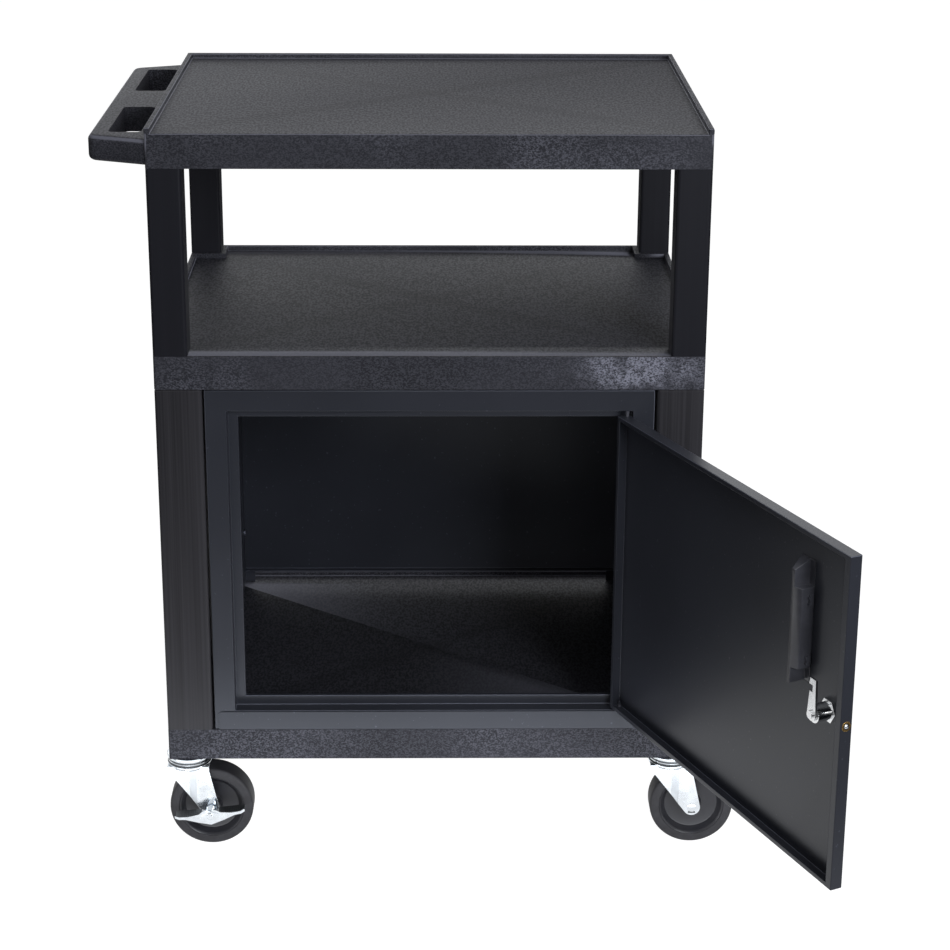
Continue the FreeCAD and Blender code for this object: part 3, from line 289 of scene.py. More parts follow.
def moulded_plastic(colour):
    """Pebbled foam moulding: painted shade along the crossing sink marks on the decks, pale flow marks on the
    skirts that are partly real and partly a painted highlight, brightest in a patch on the middle skirt, and a
    painted highlight on rounded edges.
    """
    shade = Shade("moulded_plastic", Specular_IOR_Level=0.04, Coat_Roughness=0.5)
    x, y, z = (shade.place().part(axis) for axis in "XYZ")
    low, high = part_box("middle_shelf")
    slope = (high.y - low.y) / (high.x - low.x)
    # Painted shade along the crossing sink marks on the decks
    cross = abs(y + x * slope).ramp(*SINK_SHADE) + abs(y - x * slope).ramp(*SINK_SHADE)
    deck = shade.facing("Z").ramp(0.5, 0.8)
    mottle = shade.noise(9.0, 4.0)
    broad = shade.noise(4.5, 2.0, (1.0, 1.0, 2.0))
    grain = shade.noise(720.0, 2.0, (0.7, 1.0, 1.0), 0.4)
    sand = shade.noise(400.0, 3.0, (1.0, 0.45, 1.0))
    skirt = 1 - deck
    speck = grain * skirt + sand * deck
    pebbles = speck.ramp(0.36, 0.64)
    # Flow marks on the skirts, painted lighter: partly real swirl marks, partly a painted highlight on their
    # glossier surface
    flow_highlight_cloud = shade.noise(6.5, 2.0).ramp(0.48, 0.68)
    flow_highlight_spot = abs(x - FLOW_HIGHLIGHT_X).ramp(*FLOW_HIGHLIGHT_ACROSS) * abs(z - FLOW_HIGHLIGHT_Z).ramp(*FLOW_HIGHLIGHT_RISE)
    flow_highlight_patch = flow_highlight_spot * (0 - y).ramp(*SKIRT_FRONT)
    torn = shade.noise(45.0, 4.0).ramp(0.3, 0.66)
    flow_highlight_haze = grain.ramp(0.42, 0.68) * (0.04 + flow_highlight_cloud * 0.2)
    flow = (flow_highlight_haze + grain.ramp(0.3, 0.7) * flow_highlight_patch * (0.2 + torn * 1.2)) * skirt
    base = shade.mix(pebbles, tone(colour, 0.58), tone(colour, 1.42))
    base = shade.mix(broad.ramp(0.35, 0.65) * skirt * 0.5, base, tone(colour, 1.6))
    base = shade.mix(mottle.ramp(0.3, 0.7) * 0.3, base, tone(colour, 1.3))
    # Painted shade: decks darker along the crossing sink marks
    base = shade.mix(cross * deck * 0.35, base, tone(colour, 0.62))
    # Real flow marks with a painted highlight: skirts much lighter where the flow marks lie
    base = shade.mix(flow, base, tone(colour, 8.0))
    # Painted highlight: rounded edges lighter
    base = shade.mix(shade.highlight_rim() * EDGE_HIGHLIGHT_STRENGTH, base, tone(colour, EDGE_HIGHLIGHT_TONE))
    rough = 0.52 + mottle * 0.12 - flow * 0.15
    sheen = 0.11 + pebbles * 0.19
    return shade.finish(Base_Color=base, Roughness=rough, Coat_Weight=sheen,
                        Normal=shade.bump(speck, 0.4 * MM, 0.7))


def leg_plastic(name, colour, streak_strength):
    """Extruded leg: smooth, with upright draw streaks."""
    shade = Shade(name, Specular_IOR_Level=0.2)
    streaks = shade.noise(420.0, 3.0, (1, 1, 0.006))
    broad = shade.noise(60.0, 2.0, (1, 1, 0.02))
    marks = (streaks - 0.5) * streak_strength + (broad - 0.5) * streak_strength
    base = shade.mix((marks + 0.5).ramp(0.0, 1.0), tone(colour, 0.6), tone(colour, 1.45))
    rough = 0.42 + marks * 0.25
    return shade.finish(Base_Color=base, Roughness=rough, Normal=shade.bump(streaks, 0.08 * MM, 0.4))


def coated_steel(colour):
    """Satin powder coat with a fine orange peel, a few dust specks, and a painted highlight on rounded edges."""
    shade = Shade("coated_steel", Specular_IOR_Level=0.36, Specular_Tint=(0.91, 0.94, 1.0, 1.0))
    peel = shade.noise(520.0, 2.0)
    drift = shade.noise(5.0, 3.0)
    specks = shade.noise(260.0, 1.0).ramp(0.735, 0.76)
    base = shade.mix(drift.ramp(0.3, 0.7), tone(colour, 0.9), tone(colour, 1.12))
    base = shade.mix(specks * 0.25, base, tone(colour, 5.0))
    # Painted highlight: rounded edges lighter
    base = shade.mix(shade.highlight_rim() * EDGE_HIGHLIGHT_STRENGTH, base, tone(colour, EDGE_HIGHLIGHT_TONE))
    rough = 0.31 + drift * 0.06
    return shade.finish(Base_Color=base, Roughness=rough, Normal=shade.bump(peel, 0.12 * MM, 0.35))


def satin_moulding(name, colour, roughness):
    """Fine moulded plastic for small pieces."""
    shade = Shade(name, Specular_IOR_Level=0.45)
    grain = shade.noise(900.0, 2.0)
    drift = shade.noise(40.0, 3.0)
    base = shade.mix(drift.ramp(0.3, 0.7), tone(colour, 0.85), tone(colour, 1.15))
    return shade.finish(Base_Color=base, Roughness=roughness + drift * 0.1,
                        Normal=shade.bump(grain, 0.1 * MM, 0.35))


def bright_metal(name, colour, roughness, spangle):
    """Plated metal with a faint spangle and drawing lines."""
    shade = Shade(name, Metallic=1.0)
    cloud = shade.noise(spangle, 4.0)
    lines = shade.noise(1500.0, 2.0, (1, 1, 0.05))
    base = shade.mix(cloud.ramp(0.3, 0.7), tone(colour, 0.86), colour)
    rough = roughness + cloud * 0.1 + lines * 0.04
    return shade.finish(Base_Color=base, Roughness=rough, Normal=shade.bump(lines, 0.03 * MM, 0.25))


def tyre_rubber(colour):
    """Hard tread with a dusty face."""
    shade = Shade("tyre_rubber", Specular_IOR_Level=0.35)
    dust = shade.noise(120.0, 5.0)
    grain = shade.noise(1100.0, 2.0)
    base = shade.mix(dust.ramp(0.35, 0.75), tone(colour, 0.85), tone(colour, 1.3))
    return shade.finish(Base_Color=base, Roughness=0.5 + dust * 0.2, Normal=shade.bump(grain, 0.1 * MM, 0.4))


FINISHES = {}


def make_finishes(colours):
    FINISHES.update(
        moulding=moulded_plastic(tuple(colours.moulding)),
        upper_leg=leg_plastic("upper_leg_plastic", tuple(colours.upper_leg), 0.25),
        lower_leg=leg_plastic("lower_leg_plastic", tuple(colours.lower_leg), 1.0),
        coat=coated_steel(tuple(colours.coat)),
        pull=satin_moulding("pull_plastic", tuple(colours.pull), 0.2),
        zinc=bright_metal("bright_zinc", tuple(colours.zinc), 0.1, 90.0),
        # Darker copies of zinc for painted shade: on the forks' joggles, in the race grooves and under the axle
        # ends; dark_zinc is also the levers' treads
        shaded_zinc=bright_metal("shaded_zinc", tone(colours.zinc, 0.62), 0.22, 90.0),
        dark_zinc=bright_metal("dark_zinc", tone(colours.zinc, 0.16), 0.3, 400.0),
        nickel=bright_metal("polished_nickel", tuple(colours.nickel), 0.08, 60.0),
        brass=bright_metal("polished_brass", tuple(colours.brass), 0.18, 80.0),
        tyre=tyre_rubber(tuple(colours.tyre)),
        wheel=satin_moulding("wheel_plastic", tuple(colours.wheel), 0.3),
    )


# Meshes


def new_piece(name, mesh, finish, body, slot):
    """A piece in the cart's frame that rides on a body."""
    mesh.materials.clear()
    mesh.materials.append(FINISHES[finish])
    mesh.set_sharp_from_angle(angle=math.radians(SHARP_ANGLE))
    piece = bpy.data.objects.new(name, mesh)
    bpy.context.scene.collection.objects.link(piece)
    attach(piece, body)
    return piece


def stand_in(node, work, finish):
    """A finer piece in place of a solid."""
    piece = new_piece(f"{node}_dressed", closed_mesh(node, work), finish, body_of(node), slot_of(node))
    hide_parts(node)
    return piece


def body_of(node):
    """The body that carries a node."""
    return next(body for body, members in frame["record"]["behaviour"]["bodies"].items() if node in members)


def slot_of(node):
    """The material slot of a node."""
    return next(row["material_slot"] for row in frame["record"]["subparts"] if row["node"] == node)


def closed_mesh(name, work):
    """Turns finished geometry into a smooth mesh with its faces outward."""
    bmesh.ops.recalc_face_normals(work, faces=work.faces)
    for face in work.faces:
        face.smooth = True
    mesh = bpy.data.meshes.new(f"{name}_mesh")
    work.to_mesh(mesh)
    work.free()
    return mesh


def turned(work, profile, place, steps=RING_STEPS):
    """Adds a ring turned about the local z axis, from a loop of (radius, height) points in mm."""
    rows = []
    for step in range(steps):
        turn = 2 * math.pi * step / steps
        out = Vector((math.cos(turn), math.sin(turn), 0))
        points = [out * radius + Vector((0, 0, height)) for radius, height in profile]
        rows.append([work.verts.new(place @ (point * MM)) for point in points])
    for first, second in zip(rows, rows[1:] + rows[:1]):
        for low in range(len(profile)):
            high = (low + 1) % len(profile)
            work.faces.new((first[low], first[high], second[high], second[low]))


def slab(work, outline, front, back, place):
    """Adds a plate from an (x, z) outline in mm, between two y depths."""
    loops = [[work.verts.new(place @ (Vector((x, y, z)) * MM)) for x, z in outline] for y in (front, back)]
    for loop in loops:
        work.faces.new(loop)
    for low in range(len(outline)):
        high = (low + 1) % len(outline)
        work.faces.new((loops[0][low], loops[0][high], loops[1][high], loops[1][low]))


def brick(work, low, high, place):
    """Adds a box between two corners in mm."""
    left, front, below = low
    right, back, above = high
    slab(work, [(left, below), (right, below), (right, above), (left, above)], front, back, place)


def arc(centre, radius, start, end, steps):
    """Points along part of a circle, between two angles in degrees."""
    turns = [math.radians(start + (end - start) * step / steps) for step in range(steps + 1)]
    return [(centre[0] + radius * math.cos(turn), centre[1] + radius * math.sin(turn)) for turn in turns]


def mirrored(profile):
    """A profile followed by its mirror image across height 0."""
    return [*profile, *((radius, -height) for radius, height in reversed(profile))]


def clean_copy(node):
    """A copy of a solid's mesh with its flat faces whole."""
    work = bmesh.new()
    work.from_mesh(frame["nodes"][node].data)
    bmesh.ops.remove_doubles(work, verts=work.verts, dist=WELD)
    bmesh.ops.dissolve_limit(work, angle_limit=math.radians(FLAT_ANGLE), verts=work.verts, edges=work.edges)
    return work


def add_bevel(piece, width, segments, **settings):
    """Rounds a piece's edges."""
    bevel = piece.modifiers.new("edges", "BEVEL")
    bevel.width = width
    bevel.segments = segments
    bevel.harden_normals = True
    for name, value in settings.items():
        setattr(bevel, name, value)


def softened(node, width, finish, keep=None, segments=2):
    """The solid with its sharp edges rounded, in its finish. keep picks the edges by their middle."""
    work = clean_copy(node)
    weights = work.edges.layers.float.new("bevel_weight_edge")
    for edge in work.edges:
        sharp = len(edge.link_faces) == 2 and edge.calc_face_angle(0) > math.radians(SHARP_ANGLE)
        middle = (edge.verts[0].co + edge.verts[1].co) / 2
        if sharp and edge.calc_length() > 2 * width and (keep is None or keep(middle)):
            edge[weights] = 1
    piece = stand_in(node, work, finish)
    add_bevel(piece, width, segments, limit_method="WEIGHT", use_clamp_overlap=False)
    return piece


def paint(node, finish):
    """Gives a solid that stays as it is its finish."""
    for slot in frame["nodes"][node].material_slots:
        slot.material = FINISHES[finish]


# Pieces


class CartOperator(bpy.types.Operator):
    """Base of the cart's operators."""

    bl_options = {"REGISTER", "UNDO"}

    @property
    def shape(self):
        return bpy.context.scene.cart_shape


class CART_OT_finishes(CartOperator):
    """Makes the cart's materials"""

    bl_idname = "cart.finishes"
    bl_label = "Finishes"

    def execute(self, context):
        make_finishes(context.scene.cart_finish)
        return {"FINISHED"}


class CART_OT_shelves(CartOperator):
    """Rounds the moulded shelves and the push handle"""

    bl_idname = "cart.shelves"
    bl_label = "Shelves"

    def execute(self, context):
        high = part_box("bottom_shelf")[1]

        def outside(point):
            return abs(point.x) > high.x - SKIRT_RIM or abs(point.y) > high.y - SKIRT_RIM

        for node in ("top_shelf", "middle_shelf", "bottom_shelf"):
            softened(node, self.shape.moulded_edge, "moulding", outside)
        return {"FINISHED"}


class CART_OT_legs(CartOperator):
    """Finishes the legs"""

    bl_idname = "cart.legs"
    bl_label = "Legs"

    def execute(self, context):
        for corner in CORNERS:
            paint(f"upper_leg_{corner}", "upper_leg")
            paint(f"lower_leg_{corner}", "lower_leg")
        return {"FINISHED"}


class CART_OT_cabinet(CartOperator):
    """Folds the cabinet's edges and coats it"""

    bl_idname = "cart.cabinet"
    bl_label = "Cabinet"

    def execute(self, context):
        softened("cabinet_frame", self.shape.folded_edge, "coat")
        for node in ("cabinet_bottom_rail", "cabinet_side_left", "cabinet_side_right", "cabinet_back"):
            softened(node, self.shape.folded_edge / 2, "coat")
        for node in ("cabinet_screws", "hinge_pins"):
            paint(node, "coat")
        return {"FINISHED"}


def swung():
    """The move that swings the door from shut to where it stands."""
    joint = JOINTS["door_swing"]
    hinge = Matrix.Translation(joint["pos_m"])
    return hinge @ Matrix.Rotation(math.radians(-joint["range_deg"][0]), 4, "Z") @ hinge.inverted()


class CART_OT_door(CartOperator):
    """Folds the door's edges, and finishes its bushes and ball catch"""

    bl_idname = "cart.door"
    bl_label = "Door"

    def execute(self, context):
        softened("door_panel", self.shape.folded_edge, "coat")
        paint("hinge_bushes", "pull")
        paint("catch_ball", "zinc")
        sleeve = softened("catch_sleeve", self.shape.fitting_edge / 2, "brass")
        sleeve.data.materials.append(FINISHES["coat"])
        shut = swung().inverted()
        depths = [(shut @ face.center).x for face in sleeve.data.polygons]
        for face, depth in zip(sleeve.data.polygons, depths):
            face.material_index = int(depth > min(depths) + SLEEVE_SHOW)
        return {"FINISHED"}


class CART_OT_pull(CartOperator):
    """Rounds the finger cup and adds the snap tongues that hold it in the door"""

    bl_idname = "cart.pull"
    bl_label = "Pull cup"

    def execute(self, context):
        softened("pull_handle", self.shape.pull_edge, "pull", segments=3)
        work = bmesh.new()
        for height in TONGUE_HEIGHTS:
            place = swung() @ Matrix.Translation(Vector((TONGUE_X, TONGUE_Y, height)) * MM)
            for low, high in (TONGUE_LEAF, LOWER_BARB, UPPER_BARB):
                brick(work, low, high, place)
        new_piece("pull_tongues", closed_mesh("pull_tongues", work), "pull", "door", "pull_plastic")
        return {"FINISHED"}


class CART_OT_lock(CartOperator):
    """Rounds and plates the cam lock's pieces"""

    bl_idname = "cart.lock"
    bl_label = "Lock"

    def execute(self, context):
        for node in ("lock_barrel", "lock_nut", "lock_plug", "lock_cam", "cam_screw"):
            softened(node, self.shape.fitting_edge, "nickel")
        return {"FINISHED"}


# Casters, in mm from the axle or from the swivel's axis on the floor

CORE_PROFILE = mirrored([(4.1, -16.5), (9.6, -16.5), (10.8, -15.9), (11.2, -14.8), (11.4, -8.4), (12.6, -7.0),
                         (30.0, -7.0), (31.2, -7.5), (31.8, -8.6), (34.4, -11.0), (35.0, -12.4),
                         (36.8, -14.6), (37.5, -15.0), (38.0, -14.4)])
TREAD_PROFILE = mirrored([(38.0, -14.4), (38.5, -15.0), (44.6, -15.0), (46.8, -14.5), (48.2, -13.4),
                          (48.8, -12.0), (49.0, -10.0)])
LOWER_RACE = [(5.6, 100.4), (24.4, 100.4), (25.6, 101.4), (26.0, 103.0), (25.6, 104.8), (24.2, 105.8),
              (24.0, 106.4), (24.9, 107.2), (25.0, 108.6), (23.8, 109.9), (5.6, 109.9)]
PIN_HOLE = 0.2
UPPER_RACE = [(PIN_HOLE, 147.0), (5.4, 147.0), (5.5, 115.0), (25.2, 115.0), (26.2, 114.2), (26.4, 112.8),
              (25.8, 111.2), (24.4, 110.4), (5.5, 110.4), (5.5, 99.4), (8.4, 99.4), (7.6, 97.0),
              (PIN_HOLE, 96.4)]
RIVET_PROFILE = [(PIN_HOLE, 0.0), (5.4, 0.0), (5.2, 0.5), (4.2, 0.9), (PIN_HOLE, 1.1)]
RACE_GROOVES = ((105.2, 106.9), (109.0, 110.0))
AXLE_RADIUS = 4.0
AXLE_CHAMFER = 1.0
FORK_GAP = 17.0
FORK_SHEET = 2.6
FORK_SHOULDER = (24.5, 99.0)
FORK_TOP = 104.0
CROWN_THICKNESS = 4.0
CROWN_OVERLAP = 1.0
FOOT_RADIUS = 10.0
FOOT_STEPS = 20
CREASES = (1.0, 9.5)
CREASE_STEP = 1.5
FORK_FACE = FORK_GAP + FORK_SHEET + CREASE_STEP
FORK_BEVEL_ANGLE = 60
# A painted shadow under each rivet head: a dark half-disc just proud of the fork
RIVET_SHADOW_DROP = 7.0
RIVET_SHADOW_RADIUS = 4.4
RIVET_SHADOW_STEPS = 12
RIVET_SHADOW_SHOW = 0.3

# A fork's joggle is the face that looks mostly sideways and a little along the cart. It gets a painted shade.
JOGGLE_SIDEWAYS = 0.8
JOGGLE_ALONG = 0.1


def axle_of(corner):
    """The middle of a wheel."""
    low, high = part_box(f"wheel_core_{corner}")
    return (low + high) / 2


def swivel_of(corner):
    """The foot of a caster's swivel axis on the floor."""
    return Vector((*JOINTS[f"swivel_{corner}"]["pos_m"][:2], 0))


def cross_axis(centre):
    """A place whose local z axis runs along the axle."""
    return Matrix.Translation(centre) @ Matrix.Rotation(math.pi / 2, 4, "X")


def add_wheel(corner):
    """A wheel centre with turned rings, and its tread."""
    place = cross_axis(axle_of(corner))
    for node, profile, finish in ((f"wheel_core_{corner}", CORE_PROFILE, "wheel"),
                                  (f"tyre_{corner}", TREAD_PROFILE, "tyre")):
        work = bmesh.new()
        turned(work, profile, place, WHEEL_STEPS)
        stand_in(node, work, finish)


def tangent(point, centre, radius, sign):
    """The angle, in degrees, at which a line from a point touches a circle."""
    across, rise = point[0] - centre[0], point[1] - centre[1]
    return math.degrees(math.atan2(rise, across) + sign * math.acos(radius / math.hypot(across, rise)))


def fork_outline(foot):
    """The outline of a fork's leg: a shoulder under the race that narrows to a round foot on the axle."""
    across, shoulder = FORK_SHOULDER
    start = tangent((-across, shoulder), foot, FOOT_RADIUS, 1)
    end = tangent((across, shoulder), foot, FOOT_RADIUS, -1) + 360
    return [(across, shoulder), (across, FORK_TOP), (-across, FORK_TOP), (-across, shoulder),
            *arc(foot, FOOT_RADIUS, start, end, FOOT_STEPS)]


def add_fork_leg(work, outline, sign, swivel):
    """Adds one leg of a fork, with a joggle that brings its foot outward."""
    leg = bmesh.new()
    leg.faces.new([leg.verts.new(Vector((x, 0, z))) for x, z in outline])
    for crease in CREASES:
        bmesh.ops.bisect_plane(leg, geom=[*leg.verts, *leg.edges, *leg.faces], plane_co=(crease, 0, 0),
                               plane_no=(1, 0, 0))
    inner, outer = CREASES
    for vert in leg.verts:
        share = min(1, max(0, (vert.co.x - inner) / (outer - inner)))
        vert.co.y = FORK_GAP + share * CREASE_STEP
    grown = bmesh.ops.extrude_face_region(leg, geom=leg.faces[:], use_keep_orig=True)
    bmesh.ops.translate(leg, vec=(0, FORK_SHEET, 0),
                        verts=[item for item in grown["geom"] if isinstance(item, bmesh.types.BMVert)])
    for vert in leg.verts:
        vert.co = Vector((vert.co.x, vert.co.y * sign, vert.co.z)) * MM + swivel
    plate = bpy.data.meshes.new("fork_leg")
    leg.to_mesh(plate)
    leg.free()
    work.from_mesh(plate)
    bpy.data.meshes.remove(plate)


def add_fork(corner, edge):
    """A pressed fork: a turned race, a crown and two legs, with painted shade on the joggles and in the race
    grooves.
    """
    swivel = swivel_of(corner)
    axle = (axle_of(corner) - swivel) / MM
    across = FORK_SHOULDER[0]
    work = bmesh.new()
    turned(work, LOWER_RACE, Matrix.Translation(swivel))
    for sign in (-1, 1):
        add_fork_leg(work, fork_outline((axle.x, axle.z)), sign, swivel)
    side = FORK_GAP + CROWN_OVERLAP
    under = FORK_TOP - CROWN_THICKNESS
    brick(work, (-across, -side, under), (across, side, FORK_TOP), Matrix.Translation(swivel))
    piece = stand_in(f"caster_fork_{corner}", work, "zinc")
    piece.data.materials.append(FINISHES["shaded_zinc"])
    piece.data.materials.append(FINISHES["dark_zinc"])
    # Painted shade: darker zinc on the joggles and in the race grooves
    for face in piece.data.polygons:
        joggle = abs(face.normal.y) > JOGGLE_SIDEWAYS and abs(face.normal.x) > JOGGLE_ALONG
        groove = any(low < face.center.z / MM < high for low, high in RACE_GROOVES)
        face.material_index = 2 if groove else int(joggle)
    add_bevel(piece, edge, 2, angle_limit=math.radians(FORK_BEVEL_ANGLE))


def add_rivet_shadows(corner):
    """A dark half-round plate under each end of the axle: a painted shadow of the rivet head."""
    place = Matrix.Translation(axle_of(corner))
    outline = arc((0, -RIVET_SHADOW_DROP), RIVET_SHADOW_RADIUS, 0, 180, RIVET_SHADOW_STEPS)
    work = bmesh.new()
    for sign in (-1, 1):
        slab(work, outline, sign * (FORK_FACE - RIVET_SHADOW_SHOW), sign * (FORK_FACE + RIVET_SHADOW_SHOW), place)
    mesh = closed_mesh("fork_notches", work)
    new_piece(f"fork_notches_{corner}", mesh, "dark_zinc", f"swivel_{corner}", "zinc_steel")


def add_stem(corner):
    """A stem with the upper race."""
    work = bmesh.new()
    turned(work, UPPER_RACE, Matrix.Translation(swivel_of(corner)))
    stand_in(f"caster_stem_{corner}", work, "zinc")


def add_axle(corner):
    """The axle with a low rivet head on each foot, and a longer end under a brake lever."""
    centre = axle_of(corner)
    reach = (centre.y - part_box(f"caster_axle_{corner}")[0].y) / MM
    profiles = [
        [(PIN_HOLE, -FORK_FACE), (AXLE_RADIUS, -FORK_FACE), (AXLE_RADIUS, FORK_FACE), (PIN_HOLE, FORK_FACE)],
        [(radius, -FORK_FACE - height) for radius, height in RIVET_PROFILE],
        [(radius, FORK_FACE + height) for radius, height in RIVET_PROFILE],
    ]
    if corner in BRAKED:
        profiles.append([(PIN_HOLE, FORK_FACE), (AXLE_RADIUS, FORK_FACE), (AXLE_RADIUS, reach - AXLE_CHAMFER),
                         (AXLE_RADIUS - AXLE_CHAMFER, reach), (PIN_HOLE, reach)])
    work = bmesh.new()
    for profile in profiles:
        turned(work, profile, cross_axis(centre), PIN_STEPS)
    stand_in(f"caster_axle_{corner}", work, "zinc")


class CART_OT_casters(CartOperator):
    """Shapes the casters: pressed forks, double races, wheels with rings and riveted axles"""

    bl_idname = "cart.casters"
    bl_label = "Casters"

    def execute(self, context):
        for corner in CORNERS:
            add_wheel(corner)
            add_fork(corner, self.shape.fork_edge)
            # Painted shadows under the rivet heads
            add_rivet_shadows(corner)
            add_stem(corner)
            add_axle(corner)
        return {"FINISHED"}


# Brake levers, in mm from the axle on the lever's front face

BAND_HALF = [(0, 4.4), (4.6, 7.4), (8.6, 6.2), (13.0, 3.2), (26.0, 1.4), (36.0, 2.2), (41.0, 4.6),
             (41.2, 1.6), (36.5, -1.0), (29.0, -1.8), (15.0, -7.0), (0, -11.4)]
BAND_FRONT = 0.9
BAND_BACK = 2.7
FOLD = [(-9.5, 0.6), (-1.2, 6.0), (1.4, 6.0), (10.5, 1.8), (10.0, 0.2), (1.0, 4.2), (-0.8, 4.2), (-8.6, -0.8)]
FOLD_OVERLAP = 0.3
LEVER_TILT = math.radians(-6.5)
TREAD_TILT = math.radians(14)
TREAD_START = 10.0
TREAD_END = 40.6
TREAD_HIGH = 1.2
TREAD_LOW = -0.4
TREAD_GAP = 0.3
RIDGE_PITCH = 2.6
RIDGE_HEIGHT = 0.9
RIDGE_INSET = 0.4
HUB_RADIUS = 6.4
BORE_RADIUS = 4.15


def add_lever(node, place, depth):
    """A rocking lever: a bow-tie band with a folded rib, and a hub on the axle."""
    work = bmesh.new()
    slab(work, [*BAND_HALF, *((-x, z) for x, z in BAND_HALF[-2:0:-1])], BAND_FRONT, BAND_BACK, place)
    slab(work, FOLD, 0, BAND_FRONT + FOLD_OVERLAP, place)
    hub = [(BORE_RADIUS, -BAND_BACK), (HUB_RADIUS, -BAND_BACK), (HUB_RADIUS, -depth), (BORE_RADIUS, -depth)]
    turned(work, hub, place @ Matrix.Rotation(math.pi / 2, 4, "X"), PIN_STEPS)
    stand_in(node, work, "zinc")


def add_treads(corner, node, place, depth):
    """The ridged tread behind each wing of a lever."""
    work = bmesh.new()
    tread = place @ Matrix.Translation((0, BAND_BACK * MM, 0)) @ Matrix.Rotation(TREAD_TILT, 4, "X")
    reach = (depth - BAND_BACK) / math.cos(TREAD_TILT) - TREAD_GAP
    half = RIDGE_HEIGHT / 2
    for sign in (-1, 1):
        brick(work, (sign * TREAD_START, 0, TREAD_LOW), (sign * TREAD_END, reach, TREAD_HIGH), tread)
        for number in range(int((TREAD_END - TREAD_START) / RIDGE_PITCH)):
            x = sign * (TREAD_START + (number + 0.5) * RIDGE_PITCH)
            brick(work, (x - half, RIDGE_INSET, TREAD_HIGH),
                  (x + half, reach - RIDGE_PITCH, TREAD_HIGH + RIDGE_HEIGHT), tread)
    mesh = closed_mesh("brake_treads", work)
    new_piece(f"brake_treads_{corner}", mesh, "dark_zinc", body_of(node), "zinc_steel")


def add_brake(corner):
    """A brake lever with its treads, tilted on the axle."""
    node = f"brake_lever_{corner}"
    low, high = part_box(node)
    axle = axle_of(corner)
    depth = (high.y - low.y) / MM
    place = Matrix.Translation((axle.x, low.y, axle.z)) @ Matrix.Rotation(LEVER_TILT, 4, "Y")
    add_lever(node, place, depth)
    add_treads(corner, node, place, depth)


class CART_OT_brakes(CartOperator):
    """Shapes the brake levers and their treads"""

    bl_idname = "cart.brakes"
    bl_label = "Brake levers"

    def execute(self, context):
        for corner in BRAKED:
            add_brake(corner)
        return {"FINISHED"}


# Stage

WHITE = (1.0, 1.0, 1.0)
LAMP_TINT = (0.91, 0.95, 1.0)
SENSOR_WIDTH = 36.0
VIEW_END = 100.0

# Each lamp's place, target and size in metres
LAMPS = {
    "overhead": ((-0.3, -0.6, 3.4), (0, 0, 0.5), (3.0, 2.4)),
    "front": ((1.3, -2.7, 1.5), (0, 0, 0.4), (1.0, 1.0)),
    "low": ((0, -0.43, 0.02), (0, -0.2, 0.17), (1.3, 0.08)),
    "back": ((0, 2.4, 1.15), (0, 0, 0.6), (2.2, 0.6)),
}

# The floor: its half width, how far out reflections see it white, then its shades
FLOOR_REACH = 12.0
FLOOR_NEAR = 0.85
FLOOR_FAR = 1.35
FLOOR_PALE = 0.1
FLOOR_GLOW = 1.0
FLOOR_SHADE = 0.3


def aim(stage):
    """The camera's turn, from its yaw, pitch and roll."""
    level = Vector((math.sin(stage.yaw), math.cos(stage.yaw), 0))
    ahead = level * math.cos(stage.pitch) - Vector((0, 0, math.sin(stage.pitch)))
    right = Vector((math.cos(stage.yaw), -math.sin(stage.yaw), 0))
    down = ahead.cross(right)
    across = right * math.cos(stage.roll) + down * math.sin(stage.roll)
    below = down * math.cos(stage.roll) - right * math.sin(stage.roll)
    return Matrix((across, -below, -ahead)).transposed()


def add_camera(stage):
    """The camera of the main picture."""
    data = bpy.data.cameras.new("view")
    data.lens = stage.lens
    data.sensor_width = SENSOR_WIDTH
    data.shift_y = stage.shift
    data.clip_end = VIEW_END
    camera = bpy.data.objects.new("view", data)
    camera.matrix_world = Matrix.Translation(stage.eye) @ aim(stage).to_4x4()
    bpy.context.scene.collection.objects.link(camera)
    bpy.context.scene.camera = camera


def add_light(name, power):
    """One of the lamps, aimed at its target."""
    place, target, size = LAMPS[name]
    data = bpy.data.lights.new(name, "AREA")
    data.shape = "RECTANGLE"
    data.size, data.size_y = size
    data.energy = power
    data.color = LAMP_TINT
    lamp = bpy.data.objects.new(name, data)
    lamp.location = place
    lamp.rotation_euler = (Vector(target) - Vector(place)).to_track_quat("-Z", "Y").to_euler()
    bpy.context.scene.collection.objects.link(lamp)


def white_rays(shade, gloss=1.0):
    """1 for rays that see the surroundings as white. Reflections count as far as gloss says."""
    camera, glossy, through = (shade.add("LightPath", {}, {}, f"Is {ray} Ray")
                               for ray in ("Camera", "Glossy", "Transmission"))
    return camera + (glossy + through) * gloss


def add_floor():
    """A floor that looks white, keeps the cart's shadow and greys with distance in reflections."""
    mesh = bpy.data.meshes.new("floor")
    corners = [(x * FLOOR_REACH, y * FLOOR_REACH, 0) for x, y in ((-1, -1), (1, -1), (1, 1), (-1, 1))]
    mesh.from_pydata(corners, [], [(0, 1, 2, 3)])
    shade = Shade("white_floor", Roughness=0.9, Specular_IOR_Level=0.0, Emission_Strength=1.0)
    away = shade.add("VectorMath", {"operation": "LENGTH"}, {0: shade.place()}, "Value")
    seen = white_rays(shade, away.ramp(FLOOR_FAR, FLOOR_NEAR))
    mesh.materials.append(shade.finish(
        Base_Color=shade.mix(seen, tone(WHITE, FLOOR_PALE), tone(WHITE, FLOOR_SHADE)),
        Emission_Color=shade.mix(seen, tone(WHITE, 0), tone(WHITE, FLOOR_GLOW))))
    floor = bpy.data.objects.new("floor", mesh)
    bpy.context.scene.collection.objects.link(floor)


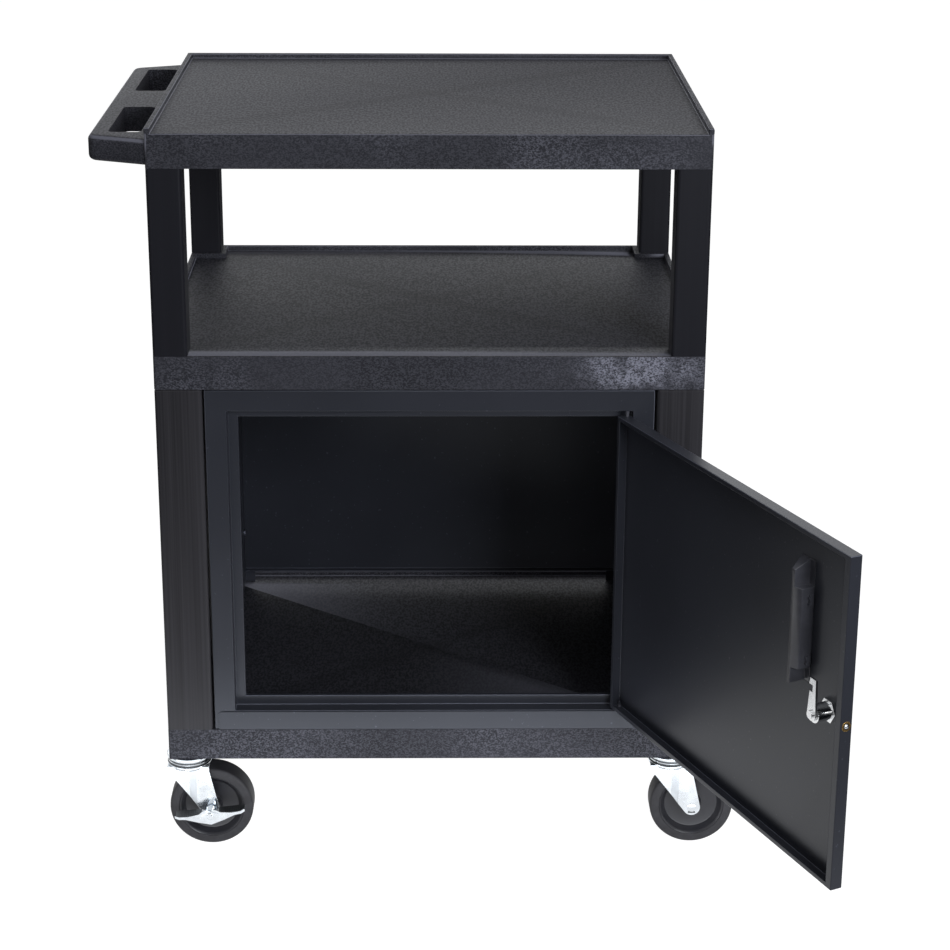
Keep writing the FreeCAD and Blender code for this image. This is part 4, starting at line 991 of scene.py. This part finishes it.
def add_sky(strength):
    """White to the camera and to reflections, and a soft plain light to the rest."""
    world = bpy.data.worlds.new("studio")
    bpy.context.scene.world = world
    world.use_nodes = True
    nodes = NodeTree(world.node_tree)
    background = nodes.tree.nodes["Background"]
    nodes.feed(background.inputs["Color"], WHITE)
    nodes.feed(background.inputs["Strength"], strength + white_rays(nodes) * (1 - strength))


class CART_OT_stage(CartOperator):
    """Sets the camera, lights, floor and backdrop"""

    bl_idname = "cart.stage"
    bl_label = "Stage"

    def execute(self, context):
        stage = context.scene.cart_stage
        context.scene.view_settings.view_transform = "Standard"
        add_camera(stage)
        add_floor()
        add_sky(stage.sky)
        for name in LAMPS:
            add_light(name, getattr(stage, f"{name}_power"))
        return {"FINISHED"}


OPERATORS = (CART_OT_finishes, CART_OT_shelves, CART_OT_legs, CART_OT_cabinet, CART_OT_door, CART_OT_pull,
             CART_OT_lock, CART_OT_casters, CART_OT_brakes, CART_OT_stage)


class CART_PT_panel(bpy.types.Panel):
    """Lists the cart's pieces"""

    bl_label = "Utility cart"
    bl_idname = "CART_PT_panel"
    bl_space_type = "VIEW_3D"
    bl_region_type = "UI"
    bl_category = "Cart"

    def draw(self, context):
        for operator in OPERATORS:
            self.layout.operator(operator.bl_idname)
        for group in (context.scene.cart_finish, context.scene.cart_shape, context.scene.cart_stage):
            box = self.layout.box()
            for name in group.bl_rna.properties.keys():
                if name not in {"rna_type", "name"}:
                    box.prop(group, name)


GROUPS = {"cart_finish": CartFinish, "cart_shape": CartShape, "cart_stage": CartStage}


def register():
    for cls in (*GROUPS.values(), *OPERATORS, CART_PT_panel):
        bpy.utils.register_class(cls)
    for name, group in GROUPS.items():
        setattr(bpy.types.Scene, name, PointerProperty(type=group))


def unregister():
    for name in GROUPS:
        delattr(bpy.types.Scene, name)
    for cls in (CART_PT_panel, *reversed(OPERATORS), *GROUPS.values()):
        bpy.utils.unregister_class(cls)


def main():
    register()
    bpy.ops.cart.finishes()
    bpy.ops.cart.shelves()
    bpy.ops.cart.legs()
    bpy.ops.cart.cabinet()
    bpy.ops.cart.door()
    bpy.ops.cart.pull()
    bpy.ops.cart.lock()
    bpy.ops.cart.casters()
    bpy.ops.cart.brakes()
    bpy.ops.cart.stage()


if __name__ == "__main__":
    main()
